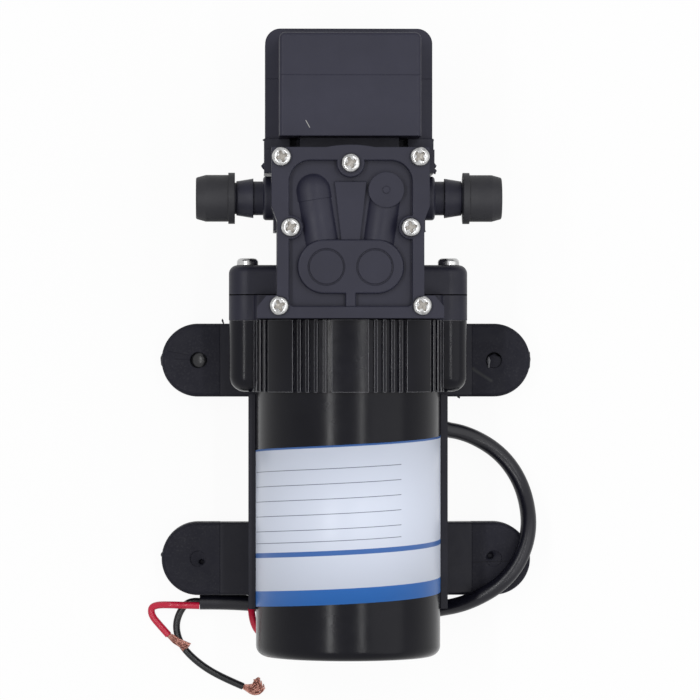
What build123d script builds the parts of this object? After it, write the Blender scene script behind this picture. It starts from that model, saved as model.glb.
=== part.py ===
from build123d import *
import math
import os

# Small diaphragm water pump for a caravan, lying on four rubber feet.
# Origin: centre of the four foot holes, on the floor. +X right, +Y from the motor
# to the pressure switch, +Z up to the valve cover. Lengths are in millimetres.

# Layout along the pump
foot_spacing_x = 79.0
foot_spacing_y = 53.0
axis_height = 31.0
motor_rear = 50.8
motor_length = 77.8
motor_seat = 8.7
collar_length = 18.7
drive_length = 6.6
ear_length = 7.8
head_length = 37.4
neck_length = 3.1
switch_body_length = 15.6
switch_cap_length = 11.0

# Clearances and overruns
running_fit = 0.05
loose_fit = 0.1
joint_gap = 0.3
cut_over = 1.0
edge_tolerance = 0.01

# Motor
motor_radius = 24.1
motor_wall = 1.2
motor_edge_radius = 2.8
magnet_thickness = 3.4
magnet_pole_gap = 20.0
magnet_setback = 28.8
magnet_front_room = 9.0
shaft_radius = 2.5
core_radius = 18.4
core_setback = 32.8
core_front_room = 5.5
core_slots = 5
slot_centre_radius = 12.0
slot_radius = 4.6
slot_opening = 2.2
end_turn_length = 5.0
end_turn_inner = 7.2
end_turn_outer = 16.8
commutator_radius = 6.0
commutator_length = 7.0
commutator_slit = 0.4
bearing_radius = 6.5
bearing_length = 5.0
bearing_groove = 0.4
rear_bearing_radius = 5.0
rear_bearing_length = 4.0
bearing_pocket_wall = 1.2
card_thickness = 2.5
card_hole_radius = 8.0
brush_width = 4.0
brush_length = 7.0
brush_height = 4.5
brush_box_wall = 0.8
front_plate_thickness = 2.5
front_boss_radius = 7.9
front_boss_length = 6.0
lead_slot_width = 5.0
lead_slot_length = 5.0

# Ribbed collar
collar_radius = 25.6
rib_depth = 0.75
rib_groove_degrees = 3.2
rib_pitch_degrees = 5.3
front_rib_start_degrees = 12.3
side_rib_start_degrees = 57.0
ribs_per_group = 5
collar_shelf = 3.0
collar_cavity_radius = 21.0
lug_x = 26.3
lug_radius = 4.8
lug_end_radius = 4.2
lug_screw_depth = 3.5

# Drive housing
drive_radius = 25.2
ear_radius = 4.9
ear_edge_radius = 2.3
drive_bearing_radius = 8.0
drive_web = 1.0

# Pump housing
crank_setback = 6.8
crank_room_radius = 13.2
crank_room_margin = 0.9
head_half_width = 18.8
head_upper_step = 3.2
head_upper_length = 6.0
head_middle_step = 0.8
head_step_setback = 16.4
head_plate_thickness = 6.0
head_rise = 15.0
head_drop = 11.0
head_edge_radius = 1.5
neck_block_half_width = 12.8
neck_groove_width = 2.5
neck_groove_depth = 4.0

# Cover outline, shared by housing plate, valve plate, gasket and cover
cover_gap = 0.3
lobe_half_width = 23.9
lobe_length = 3.0
lobe_slope_width = 2.4
lobe_slope_length = 2.8
cover_taper_setback = 18.9
cover_taper_length = 3.8
cover_half_width = 20.2
cover_bulge_half_width = 6.1
cover_bulge = 0.6

# Diaphragm and valves
diaphragm_radius = 11.7
diaphragm_opening_radius = 9.7
diaphragm_rim = 1.6
diaphragm_skin = 0.8
diaphragm_disc_radius = 6.5
diaphragm_disc_thickness = 1.8
valve_plate_thickness = 6.0
chamber_clearance = 0.8
valve_x = 6.2
valve_disc_radius = 3.0
valve_disc_thickness = 0.8
valve_stem_radius = 1.0
valve_bead_radius = 1.5
valve_bead_length = 1.0
valve_bead_taper_degrees = 20.0
valve_lift = 0.5
valve_pocket_depth = 1.0
valve_hole_radius = 0.7
valve_hole_circle = 2.1
valve_holes = 6
gasket_thickness = 1.0

# Crank drive
crank_throw = 1.0
eccentric_radius = 3.95
eccentric_length = 6.0
hub_radius = 6.6
hub_length = 3.2
rod_bearing_radius = 8.0
rod_bearing_width = 5.0
rod_ring_wall = 2.2
rod_shank_radius = 4.0
rod_flange_thickness = 1.8
piston_plate_radius = 6.2
piston_plate_thickness = 1.0
piston_screw_head_radius = 2.6
piston_screw_head_height = 1.2
piston_screw_radius = 1.5
piston_screw_length = 7.0

# Valve cover
cover_floor_thickness = 5.0
cover_rim_height = 2.5
recess_half_width = 15.7
recess_rear_rim = 3.1
recess_front_rim = 3.4
recess_corner_radius = 5.5
recess_rear_corner_radius = 1.2
top_boss_radius = 3.6
side_boss_radius = 3.1
relief_height = 2.0
stadium_half_width = 13.6
stadium_rear_reach = 6.8
stadium_front_reach = 7.0
circle_radius = 4.75
circle_groove = 0.45
circle_groove_depth = 0.4
stem_width = 2.7
rim_edge_radius = 0.4
left_ridge_width = 8.4
right_ridge_width = 7.9
ridge_height = 1.6
ridge_seam_setback = 2.3
ridge_seam_step = 0.12
channel_rear_x = 6.3
channel_left_front_x = 9.5
channel_left_reach = 1.3
channel_right_front_x = 9.1
channel_right_reach = 1.5
channel_boss_radius = 4.55
gate_mark_radius = 0.9
gate_mark_height = 0.4
web_front_reach = 3.6
web_front_half_width = 4.1
web_rear_half_width = 2.4
web_height = 1.2
cavity_radius = 3.9
cavity_depth = 3.6
duct_width = 4.0
duct_depth = 4.2
relief_edge_radius = 0.5

# Screws
cover_screw_radius = 1.3
cover_screw_length = 18.0
cover_screw_head_radius = 2.5
cover_screw_head_height = 1.8
clamp_screw_radius = 1.45
clamp_screw_head_radius = 2.8
clamp_screw_head_height = 1.8
cross_width = 0.9
cross_core_share = 0.9
cross_turns = (18, 24, 45, 27, 13, 22, 32)
cross_share = 0.62
cross_depth = 1.0
cover_screw_front_x = 17.6
cover_screw_front_edge = 2.5
cover_screw_centre_edge = 4.1
cover_screw_side_x = 15.3
cover_screw_side_reach = 10.1
cover_screw_rear_x = 18.25
cover_screw_rear_edge = 3.2

# Ports and dust caps
port_edge = 12.4
port_drop = 7.0
port_bore_radius = 2.6
port_boss_radius = 5.7
port_boss_length = 0.3
port_boss_edge_radius = 0.8
port_neck_radius = 4.4
port_neck_length = 2.5
barb_radius = 5.15
barb_length = 4.4
barb_end_radius = 4.45
tail_radius = 4.1
tail_length = 9.0
duct_x = 9.5
duct_radius = 2.4
cap_gap = 0.4
cap_rim_radius = 6.65
cap_rim_length = 1.7
cap_radius = 6.07
cap_length = 10.1
cap_taper_length = 2.55
cap_end_radius = 5.36
cap_end_wall = 1.0
cap_edge_radius = 0.5

# Pressure switch
switch_half_width = 21.75
switch_block_half_width = 18.2
switch_drop = 26.0
switch_rise = 25.0
switch_strip_drop = 7.0
switch_strip_rise = 7.2
switch_band_reach = 2.1
switch_edge_radius = 1.0
switch_block_corner_radius = 1.6
switch_band_corner_radius = 4.0
switch_floor = 2.0
switch_room_half_width = 12.0
switch_room_half_height = 11.0
switch_room_corner = 1.5
switch_wall = 2.5
switch_diaphragm_radius = 10.0
switch_diaphragm_thickness = 1.2
pressure_chamber_radius = 9.0
pressure_chamber_depth = 0.8
pressure_duct_radius = 1.2
pressure_duct_x = 5.0
pressure_duct_drop = 2.2
plunger_foot_radius = 5.5
plunger_foot_length = 3.2
plunger_stem_radius = 2.0
plunger_stem_length = 6.5
plunger_travel = 1.2
striker_reach = 9.5
striker_width = 3.0
spring_wire_radius = 0.45
spring_radius = 3.2
spring_turns = 5
screw_guide_radius = 5.2
adjuster_radius = 4.0
adjuster_length = 5.5
adjuster_socket = 3.0
adjuster_socket_depth = 2.5
adjuster_recess = 1.0
microswitch_width = 5.0
microswitch_length = 7.0
microswitch_height = 12.0
microswitch_x = 9.0
button_radius = 0.8
button_length = 2.6
terminal_width = 0.6
terminal_length = 2.0
switch_screw_x = 14.6
switch_screw_z = 19.0
switch_screw_radius = 1.4
switch_screw_head_radius = 2.6
switch_screw_head_height = 1.8

# Base
cradle_clearance = 0.1
cradle_wall = 1.9
cradle_rear = 38.6
cradle_collar_gap = 0.6
plate_lift = 1.0
plate_overlap = 0.2
plate_half_width = 13.0
arm_height = 7.0
arm_edge_radius = 0.8
foot_radius = 9.75
foot_height = 8.0
foot_seam_x = 33.6
foot_hole_radius = 2.1
foot_edge_radius = 1.2
tongue_reach = 9.5
tongue_half_width = 6.0
tongue_bottom = 3.0
tongue_thickness = 2.4
tongue_hole_radius = 3.2

# Cable
sleeve_radius = 2.1
grommet_x = 9.0
grommet_rise = 5.0
grommet_radius = 3.5
grommet_length = 4.0
grommet_edge = 0.6
red_radius = 0.85
black_radius = 0.9
strand_radius = 0.55

# Positions that follow from the sizes
motor_rear_y = -motor_rear
motor_front_y = motor_rear_y + motor_length
collar_rear_y = motor_front_y - motor_seat
collar_front_y = collar_rear_y + collar_length
drive_front_y = collar_front_y + drive_length
ear_front_y = drive_front_y + ear_length
head_front_y = drive_front_y + head_length
neck_front_y = head_front_y + neck_length
switch_split_y = neck_front_y + switch_body_length
switch_end_y = switch_split_y + switch_cap_length
motor_inner_radius = motor_radius - motor_wall
magnet_length = motor_length - magnet_setback - magnet_front_room
winding_front = motor_length - front_plate_thickness - core_front_room
core_length = winding_front - end_turn_length - core_setback
crank_y = drive_front_y + crank_setback
head_step_y = drive_front_y + head_step_setback
head_upper_y = head_front_y - head_upper_length
head_middle_half_width = head_half_width + head_middle_step
head_upper_half_width = head_half_width + head_upper_step
port_y = head_front_y - port_edge
head_top = axis_height + head_rise
head_upper_bottom = axis_height - head_drop
port_height = head_top - port_drop
plate_bottom_z = head_top - head_plate_thickness
cover_rear_y = collar_front_y + cover_gap
cover_taper_y = head_front_y - cover_taper_setback
recess_rear_y = cover_rear_y + recess_rear_rim
recess_front_y = head_front_y - recess_front_rim
stadium_rear_y = crank_y - stadium_rear_reach
stadium_front_y = crank_y + stadium_front_reach
channel_left_front_y = port_y + channel_left_reach
channel_right_front_y = port_y + channel_right_reach
web_front_y = port_y + web_front_reach
cover_screw_front_y = head_front_y - cover_screw_front_edge
cover_screw_centre_y = head_front_y - cover_screw_centre_edge
cover_screw_side_y = crank_y + cover_screw_side_reach
cover_screw_rear_y = cover_rear_y + cover_screw_rear_edge
switch_bottom = axis_height - switch_drop
switch_top = axis_height + switch_rise
switch_strip_bottom = axis_height - switch_strip_drop
switch_strip_top = axis_height + switch_strip_rise
grommet_height = switch_bottom + grommet_rise
plate_z = head_top
valve_plate_top = plate_z + valve_plate_thickness
gasket_top = valve_plate_top + gasket_thickness
cover_floor_z = gasket_top + cover_floor_thickness
cover_top_z = cover_floor_z + cover_rim_height
seat_z = head_top - diaphragm_rim
crank_z = axis_height - crank_throw
rod_ring_radius = rod_bearing_radius + rod_ring_wall
disc_bottom = seat_z - diaphragm_disc_thickness + diaphragm_skin / 2
disc_top = disc_bottom + diaphragm_disc_thickness
screw_head_top = disc_top + piston_plate_thickness + piston_screw_head_height
chamber_top = screw_head_top + 2 * crank_throw + chamber_clearance
cradle_bore = motor_radius + cradle_clearance
cradle_outer = cradle_bore + cradle_wall
cradle_front_y = collar_rear_y - cradle_collar_gap
foot_x = foot_spacing_x / 2
foot_y = foot_spacing_y / 2
port_tip_x = head_upper_half_width + port_boss_length
cap_start_x = port_tip_x + port_neck_length + barb_length + cap_gap


# The plane across the motor axis at y, facing +Y, with its first direction along -X
def across(y):
    return Plane(origin=(0, y, axis_height), x_dir=(-1, 0, 0), z_dir=(0, 1, 0))


# A ring round the motor axis, from y towards +Y
def ring(y, length, outer, inner, mode=Mode.ADD):
    with BuildSketch(across(y)) as section:
        Circle(outer)
        Circle(inner, mode=Mode.SUBTRACT)
    extrude(section.sketch, amount=length, mode=mode)


# A disc or a hole round the motor axis
def disc(y, length, radius, mode=Mode.ADD):
    with BuildSketch(across(y)) as section:
        Circle(radius)
    extrude(section.sketch, amount=length, mode=mode)


# A bearing ring round the motor axis with a shield groove in each face
def bearing(y, length, outer, inner):
    ring(y, length, outer, inner)
    middle = (outer + inner) / 2
    for face_y in (y, y + length - bearing_groove):
        ring(face_y, bearing_groove, middle + bearing_groove, middle - bearing_groove, Mode.SUBTRACT)


# The outline that the cover, its gasket, the valve plate and the housing plate share
def draw_cover_outline():
    lobe_y = cover_rear_y + lobe_length
    taper_end_y = cover_taper_y + cover_taper_length
    with BuildLine() as outline:
        for side in (-1, 1):
            Polyline(
                (0, cover_rear_y),
                (side * lobe_half_width, cover_rear_y),
                (side * lobe_half_width, lobe_y),
                (side * (lobe_half_width - lobe_slope_width), lobe_y + lobe_slope_length),
                (side * head_half_width, lobe_y + lobe_slope_length),
                (side * head_half_width, cover_taper_y),
                (side * cover_half_width, taper_end_y),
                (side * cover_half_width, head_front_y),
                (side * cover_bulge_half_width, head_front_y),
            )
        ThreePointArc(
            (-cover_bulge_half_width, head_front_y),
            (0, head_front_y + cover_bulge),
            (cover_bulge_half_width, head_front_y),
        )
    make_face(outline.edges())


cover_screw_places = [
    (-cover_screw_front_x, cover_screw_front_y),
    (0, cover_screw_centre_y),
    (cover_screw_front_x, cover_screw_front_y),
    (-cover_screw_side_x, cover_screw_side_y),
    (cover_screw_side_x, cover_screw_side_y),
    (-cover_screw_rear_x, cover_screw_rear_y),
    (cover_screw_rear_x, cover_screw_rear_y),
]


# Holes through the whole height of a plate for the cover screws
def cut_cover_screw_holes(bottom, top):
    with BuildSketch(Plane.XY.offset(bottom - cut_over)) as holes:
        with Locations(*cover_screw_places):
            Circle(cover_screw_radius + loose_fit)
    extrude(holes.sketch, amount=top - bottom + 2 * cut_over, mode=Mode.SUBTRACT)


# Two vertical ducts that join the ports to the channels of the cover
def cut_port_ducts(bottom, top):
    with BuildSketch(Plane.XY.offset(bottom)) as ducts:
        with Locations((-duct_x, port_y), (duct_x, port_y)):
            Circle(duct_radius)
    extrude(ducts.sketch, amount=top - bottom, mode=Mode.SUBTRACT)


# Pan-head screws at the given places of a plane, heads on its normal side
def draw_screws(plane, places, head_radius, head_height, shank_radius, length):
    with BuildSketch(plane) as heads:
        with Locations(*places):
            Circle(head_radius)
    extrude(heads.sketch, amount=head_height)
    with BuildSketch(plane) as shanks:
        with Locations(*places):
            Circle(shank_radius)
    extrude(shanks.sketch, amount=-length)


# Round the rims of the heads and sink a cross into each of them
def finish_screws(screws, plane, places, head_radius, head_height):
    def on_head_rim(edge):
        height = plane.to_local_coords(edge.arc_center).Z
        right_radius = abs(edge.radius - head_radius) < edge_tolerance
        return right_radius and abs(height - head_height) < edge_tolerance

    rims = screws.edges().filter_by(GeomType.CIRCLE).filter_by(on_head_rim)
    fillet(rims, head_height * cross_share)
    with BuildSketch(plane.offset(head_height - cross_depth)) as crosses:
        for place, turn in zip(places, cross_turns):
            with Locations(Location(place, turn)):
                SlotOverall(2 * head_radius * cross_share, cross_width)
                SlotOverall(2 * head_radius * cross_share, cross_width, rotation=90)
                Circle(cross_width * cross_core_share)
    extrude(crosses.sketch, amount=cross_depth + cut_over, mode=Mode.SUBTRACT)


def save(builder, name):
    builder.part.label = name
    export_step(builder.part, f"parts/{name}.step")


os.makedirs("parts", exist_ok=True)

# Base: a half shell that holds the motor, on a flat plate with four arms
with BuildPart() as base_cradle:
    with BuildSketch(Plane.XY.offset(plate_lift)) as base_plan:
        plate_front_y = foot_y + foot_radius
        with Locations((0, (plate_front_y - cradle_rear) / 2)):
            Rectangle(2 * plate_half_width, plate_front_y + cradle_rear)
    cradle_bottom = axis_height - cradle_outer
    extrude(amount=cradle_bottom + plate_overlap - plate_lift)
    with BuildSketch(Plane.XY.offset(plate_lift)):
        with GridLocations(foot_seam_x + plate_half_width, foot_spacing_y, 2, 2):
            Rectangle(foot_seam_x - plate_half_width, 2 * foot_radius)
    extrude(amount=arm_height)
    arm_top = plate_lift + arm_height
    arm_edges = base_cradle.faces().filter_by(Axis.Z).group_by(Axis.Z)[-1].edges()
    fillet(arm_edges.filter_by(Axis.X), arm_edge_radius)
    with BuildSketch(across(-cradle_rear)):
        Circle(cradle_outer)
        Rectangle(2 * cradle_outer, cradle_outer, align=(Align.CENTER, Align.MIN), mode=Mode.SUBTRACT)
    extrude(amount=cradle_rear + cradle_front_y)
    with BuildSketch(across(-cradle_rear - cut_over)):
        Circle(cradle_bore)
    extrude(amount=cradle_rear + cradle_front_y + cut_over, mode=Mode.SUBTRACT)
    disc(cradle_front_y, collar_length, collar_radius + cover_gap, Mode.SUBTRACT)
    with BuildSketch(Plane.XY.offset(tongue_bottom)):
        for side in (-1, 1):
            with Locations((side * foot_seam_x, -foot_y), (side * foot_seam_x, foot_y)):
                Rectangle(2 * tongue_reach, 2 * tongue_half_width)
    extrude(amount=tongue_thickness)
    with BuildSketch(Plane.XY):
        with GridLocations(foot_spacing_x, foot_spacing_y, 2, 2):
            Circle(tongue_hole_radius)
    extrude(amount=foot_height, mode=Mode.SUBTRACT)
save(base_cradle, "base_cradle")


# A rubber foot pushed over the tongue of its arm
def make_foot(side, end, name):
    outward = Align.MIN if side > 0 else Align.MAX
    inward = Align.MAX if side > 0 else Align.MIN
    with BuildPart() as foot:
        with BuildSketch(Plane.XY):
            with Locations((side * foot_x, end * foot_y)):
                Circle(foot_radius)
            with Locations((side * foot_seam_x, end * foot_y)):
                Rectangle(foot_x - foot_seam_x, 2 * foot_radius, align=(outward, Align.CENTER))
                Rectangle(
                    2 * foot_radius,
                    2 * foot_radius + cut_over,
                    align=(inward, Align.CENTER),
                    mode=Mode.SUBTRACT,
                )
        extrude(amount=foot_height)
        top = foot.faces().sort_by(Axis.Z)[-1]
        fillet(top.edges().filter_by(lambda e: abs(e.center().X) > foot_seam_x + edge_tolerance),
               foot_edge_radius)
        with BuildSketch(Plane.XY.offset(tongue_bottom - loose_fit)):
            with Locations((side * foot_seam_x, end * foot_y)):
                Rectangle(
                    2 * (tongue_reach + loose_fit),
                    2 * (tongue_half_width + loose_fit),
                )
        extrude(amount=tongue_thickness + 2 * loose_fit, mode=Mode.SUBTRACT)
        with BuildSketch(Plane.XY):
            with Locations((side * foot_x, end * foot_y)):
                Circle(foot_hole_radius)
        extrude(amount=foot_height, mode=Mode.SUBTRACT)
    save(foot, name)


make_foot(-1, 1, "foot_front_left")
make_foot(1, 1, "foot_front_right")
make_foot(-1, -1, "foot_rear_left")
make_foot(1, -1, "foot_rear_right")

# Motor can: a drawn cup, open at the front, with a pocket for the rear bearing
rear_floor_y = motor_rear_y + motor_wall
with BuildPart() as motor_can:
    disc(motor_rear_y, motor_length, motor_radius)
    rear_rim = motor_can.faces().sort_by(Axis.Y)[0].edges()
    fillet(rear_rim, motor_edge_radius)
    disc(rear_floor_y, motor_length, motor_inner_radius, Mode.SUBTRACT)
    pocket_outer = rear_bearing_radius + bearing_pocket_wall
    ring(rear_floor_y, rear_bearing_length, pocket_outer, rear_bearing_radius)
    lead_slot_y = rear_floor_y + motor_wall + lead_slot_length / 2
    lead_plane = Plane(origin=(0, lead_slot_y, axis_height), z_dir=(-1, 0, -1), x_dir=(0, 1, 0))
    with BuildSketch(lead_plane.offset(motor_inner_radius - cut_over)):
        SlotOverall(lead_slot_length, lead_slot_width / 2)
    extrude(amount=motor_wall + 2 * cut_over, mode=Mode.SUBTRACT)
save(motor_can, "motor_can")

# Two ferrite magnets against the inside of the can
magnet_outer = motor_inner_radius - loose_fit
magnet_rear_y = motor_rear_y + magnet_setback
with BuildPart() as motor_magnets:
    with BuildSketch(across(magnet_rear_y)):
        Circle(magnet_outer)
        Circle(magnet_outer - magnet_thickness, mode=Mode.SUBTRACT)
        Rectangle(magnet_pole_gap, 2 * motor_radius, mode=Mode.SUBTRACT)
    extrude(amount=magnet_length)
save(motor_magnets, "motor_magnets")

# Front plate of the motor with the boss that holds the front bearing
boss_front_y = motor_front_y + front_boss_length
front_bearing_y = boss_front_y - bearing_length
with BuildPart() as motor_front_plate:
    disc(motor_front_y - front_plate_thickness, front_plate_thickness, motor_inner_radius - running_fit)
    disc(motor_front_y, front_boss_length, front_boss_radius)
    disc(front_bearing_y, bearing_length, bearing_radius, Mode.SUBTRACT)
    through = front_plate_thickness + front_boss_length
    disc(motor_front_y - front_plate_thickness, through, shaft_radius + joint_gap, Mode.SUBTRACT)
save(motor_front_plate, "motor_front_plate")

with BuildPart() as front_bearing:
    bearing(front_bearing_y, bearing_length, bearing_radius, shaft_radius + running_fit)
save(front_bearing, "front_bearing")

with BuildPart() as rear_bearing:
    bearing(rear_floor_y, rear_bearing_length, rear_bearing_radius, shaft_radius + running_fit)
save(rear_bearing, "rear_bearing")

# Brush card with two box holders, and the two carbon brushes in them
core_rear_y = motor_rear_y + core_setback
end_turn_rear_y = core_rear_y - end_turn_length
commutator_y = end_turn_rear_y - loose_fit - commutator_length
card_y = commutator_y - joint_gap - card_thickness
brush_y = commutator_y + (commutator_length - brush_height) / 2
brush_inner = commutator_radius + joint_gap
box_inner = brush_inner + cut_over
with BuildPart() as brush_card:
    disc(card_y, card_thickness, motor_inner_radius - running_fit)
    with BuildSketch(across(card_y)):
        for side in (-1, 1):
            with Locations((side * (box_inner + brush_length / 2), 0)):
                Rectangle(brush_length, brush_width + 2 * brush_box_wall)
    extrude(amount=brush_y + brush_height + brush_box_wall - card_y)
    with BuildSketch(across(brush_y)):
        Rectangle(2 * motor_radius, brush_width + 2 * running_fit)
    extrude(amount=brush_height, mode=Mode.SUBTRACT)
    disc(card_y, card_thickness, card_hole_radius, Mode.SUBTRACT)
save(brush_card, "brush_card")

with BuildPart() as brushes:
    with BuildSketch(across(brush_y)):
        for side in (-1, 1):
            with Locations((side * (brush_inner + brush_length / 2), 0)):
                Rectangle(brush_length, brush_width)
    extrude(amount=brush_height)
save(brushes, "brushes")

# Rotor: shaft, slotted core, windings, commutator
eccentric_y = crank_y - eccentric_length / 2
hub_y = eccentric_y - hub_length
shaft_front_y = crank_y + eccentric_length / 2
with BuildPart() as motor_shaft:
    disc(rear_floor_y + loose_fit, shaft_front_y - rear_floor_y - loose_fit, shaft_radius)
    chamfer(motor_shaft.edges().filter_by(GeomType.CIRCLE), loose_fit)
save(motor_shaft, "motor_shaft")

with BuildPart() as rotor_core:
    with BuildSketch(across(core_rear_y)):
        Circle(core_radius)
        Circle(shaft_radius, mode=Mode.SUBTRACT)
        with PolarLocations(slot_centre_radius, core_slots):
            Circle(slot_radius, mode=Mode.SUBTRACT)
        with PolarLocations((slot_centre_radius + core_radius) / 2, core_slots):
            Rectangle(core_radius - slot_centre_radius + cut_over, slot_opening, mode=Mode.SUBTRACT)
    extrude(amount=core_length)
save(rotor_core, "rotor_core")

with BuildPart() as rotor_windings:
    ring(end_turn_rear_y, end_turn_length, end_turn_outer, end_turn_inner)
    with BuildSketch(across(core_rear_y)):
        with PolarLocations(slot_centre_radius, core_slots):
            Circle(slot_radius - loose_fit)
    extrude(amount=core_length)
    ring(core_rear_y + core_length, end_turn_length, end_turn_outer, end_turn_inner)
    fillet(rotor_windings.edges().filter_by(GeomType.CIRCLE).group_by(Axis.Y)[0], end_turn_length / 4)
    fillet(rotor_windings.edges().filter_by(GeomType.CIRCLE).group_by(Axis.Y)[-1], end_turn_length / 4)
save(rotor_windings, "rotor_windings")

with BuildPart() as commutator:
    with BuildSketch(across(commutator_y)):
        Circle(commutator_radius)
        Circle(shaft_radius, mode=Mode.SUBTRACT)
        slit_depth = commutator_radius - shaft_radius
        with PolarLocations(commutator_radius, core_slots):
            Rectangle(slit_depth, commutator_slit, mode=Mode.SUBTRACT)
    extrude(amount=commutator_length)
save(commutator, "commutator")

# Eccentric on the shaft: a hub beside the drive bearing, and the crank pin
with BuildPart() as eccentric:
    disc(hub_y, hub_length, hub_radius)
    with BuildSketch(across(eccentric_y)):
        with Locations((0, -crank_throw)):
            Circle(eccentric_radius)
    extrude(amount=eccentric_length)
    disc(hub_y, hub_length + eccentric_length, shaft_radius, Mode.SUBTRACT)
save(eccentric, "eccentric")

# Connecting rod: a ring round the crank bearing, a shank and the diaphragm flange
rod_ring_y = crank_y - rod_bearing_width / 2
rod_plane = Plane(origin=(0, rod_ring_y, crank_z), x_dir=(-1, 0, 0), z_dir=(0, 1, 0))
with BuildPart() as connecting_rod:
    with BuildSketch(rod_plane):
        Circle(rod_ring_radius)
    extrude(amount=rod_bearing_width)
    with BuildSketch(Plane.XY.offset(crank_z)):
        with Locations((0, crank_y)):
            Circle(rod_shank_radius)
    extrude(amount=disc_bottom - crank_z)
    with BuildSketch(Plane.XY.offset(disc_bottom - rod_flange_thickness)):
        with Locations((0, crank_y)):
            Circle(diaphragm_disc_radius)
    extrude(amount=rod_flange_thickness)
    with BuildSketch(rod_plane.offset(-rod_bearing_width)):
        Circle(rod_bearing_radius)
    extrude(amount=3 * rod_bearing_width, mode=Mode.SUBTRACT)
    with BuildSketch(Plane.XY.offset(disc_bottom)):
        with Locations((0, crank_y)):
            Circle(piston_screw_radius + running_fit)
    extrude(amount=-piston_screw_length, mode=Mode.SUBTRACT)
save(connecting_rod, "connecting_rod")

with BuildPart() as rod_bearing:
    with BuildSketch(rod_plane):
        Circle(rod_bearing_radius)
        Circle(eccentric_radius + running_fit, mode=Mode.SUBTRACT)
    extrude(amount=rod_bearing_width)
    race_middle = (rod_bearing_radius + eccentric_radius) / 2
    for groove_y in (0, rod_bearing_width - bearing_groove):
        with BuildSketch(rod_plane.offset(groove_y)):
            Circle(race_middle + bearing_groove)
            Circle(race_middle - bearing_groove, mode=Mode.SUBTRACT)
        extrude(amount=bearing_groove, mode=Mode.SUBTRACT)
save(rod_bearing, "rod_bearing")

# Retaining plate and screw that clamp the middle of the diaphragm to the rod
with BuildPart() as piston_plate:
    with BuildSketch(Plane.XY.offset(disc_top)):
        with Locations((0, crank_y)):
            Circle(piston_plate_radius)
            Circle(piston_screw_radius + running_fit, mode=Mode.SUBTRACT)
    extrude(amount=piston_plate_thickness)
save(piston_plate, "piston_plate")

piston_screw_plane = Plane.XY.offset(disc_top + piston_plate_thickness)
with BuildPart() as piston_screw:
    head = (piston_screw_head_radius, piston_screw_head_height)
    draw_screws(piston_screw_plane, [(0, crank_y)], *head, piston_screw_radius, piston_screw_length)
    finish_screws(piston_screw, piston_screw_plane, [(0, crank_y)], *head)
save(piston_screw, "piston_screw")

# Rubber diaphragm: clamped rim, thin rolling skin, thick centre disc
rim_inner = diaphragm_opening_radius
fold = (diaphragm_disc_radius + rim_inner) / 2
skin_bottom = seat_z - diaphragm_skin
with BuildPart() as pump_diaphragm:
    with BuildSketch(Plane.YZ) as diaphragm_section:
        with BuildLine():
            Polyline(
                (crank_y + piston_screw_radius + running_fit, disc_bottom),
                (crank_y + diaphragm_disc_radius, disc_bottom),
                (crank_y + fold, skin_bottom),
                (crank_y + rim_inner, seat_z),
                (crank_y + diaphragm_radius, seat_z),
                (crank_y + diaphragm_radius, head_top),
                (crank_y + rim_inner, head_top),
                (crank_y + fold, skin_bottom + diaphragm_skin),
                (crank_y + diaphragm_disc_radius, disc_top),
                (crank_y + piston_screw_radius + running_fit, disc_top),
                close=True,
            )
        make_face()
    revolve(axis=Axis((0, crank_y, 0), (0, 0, 1)))
save(pump_diaphragm, "pump_diaphragm")

# Ribbed collar: moulded grip ribs in four quarters, with a screw lug on each side
rib_groups = (front_rib_start_degrees, side_rib_start_degrees)
with BuildPart() as ribbed_collar:
    with BuildSketch(across(collar_rear_y)):
        Circle(collar_radius)
        for start in rib_groups:
            for index in range(ribs_per_group):
                angle = start + index * rib_pitch_degrees
                width = 2 * collar_radius * math.sin(math.radians(rib_groove_degrees / 2))
                for turn in (90 - angle, 90 + angle, -90 - angle, -90 + angle):
                    with Locations(Location((0, 0), turn)):
                        with Locations((collar_radius, 0)):
                            Rectangle(2 * rib_depth, width, mode=Mode.SUBTRACT)
    extrude(amount=collar_length)
    with BuildSketch(across(collar_rear_y)):
        for side in (-1, 1):
            with Locations((side * lug_x, 0)):
                Circle(lug_radius)
        Rectangle(2 * lug_x, 2 * lug_radius)
    extrude(amount=collar_length)
    lug_ends = ribbed_collar.edges().filter_by(GeomType.CIRCLE).group_by(Axis.Y)[0]
    lug_ends = lug_ends.filter_by(lambda e: abs(e.radius - lug_radius) < edge_tolerance)
    fillet(lug_ends, lug_end_radius)
    disc(collar_rear_y, motor_seat, motor_radius + running_fit, Mode.SUBTRACT)
    disc(motor_front_y, collar_shelf, front_boss_radius + running_fit, Mode.SUBTRACT)
    shelf_top_y = motor_front_y + collar_shelf
    disc(shelf_top_y, collar_front_y - shelf_top_y, collar_cavity_radius, Mode.SUBTRACT)
    with BuildSketch(across(collar_front_y)):
        with Locations((-lug_x, 0), (lug_x, 0)):
            Circle(clamp_screw_radius + running_fit)
    extrude(amount=lug_screw_depth - collar_length, mode=Mode.SUBTRACT)
save(ribbed_collar, "ribbed_collar")


# Outline of the two screw ears and the round body between them
def draw_ears(body_radius):
    Circle(body_radius)
    Rectangle(2 * lug_x, 2 * ear_radius)
    with Locations((-lug_x, 0), (lug_x, 0)):
        Circle(ear_radius)


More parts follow.
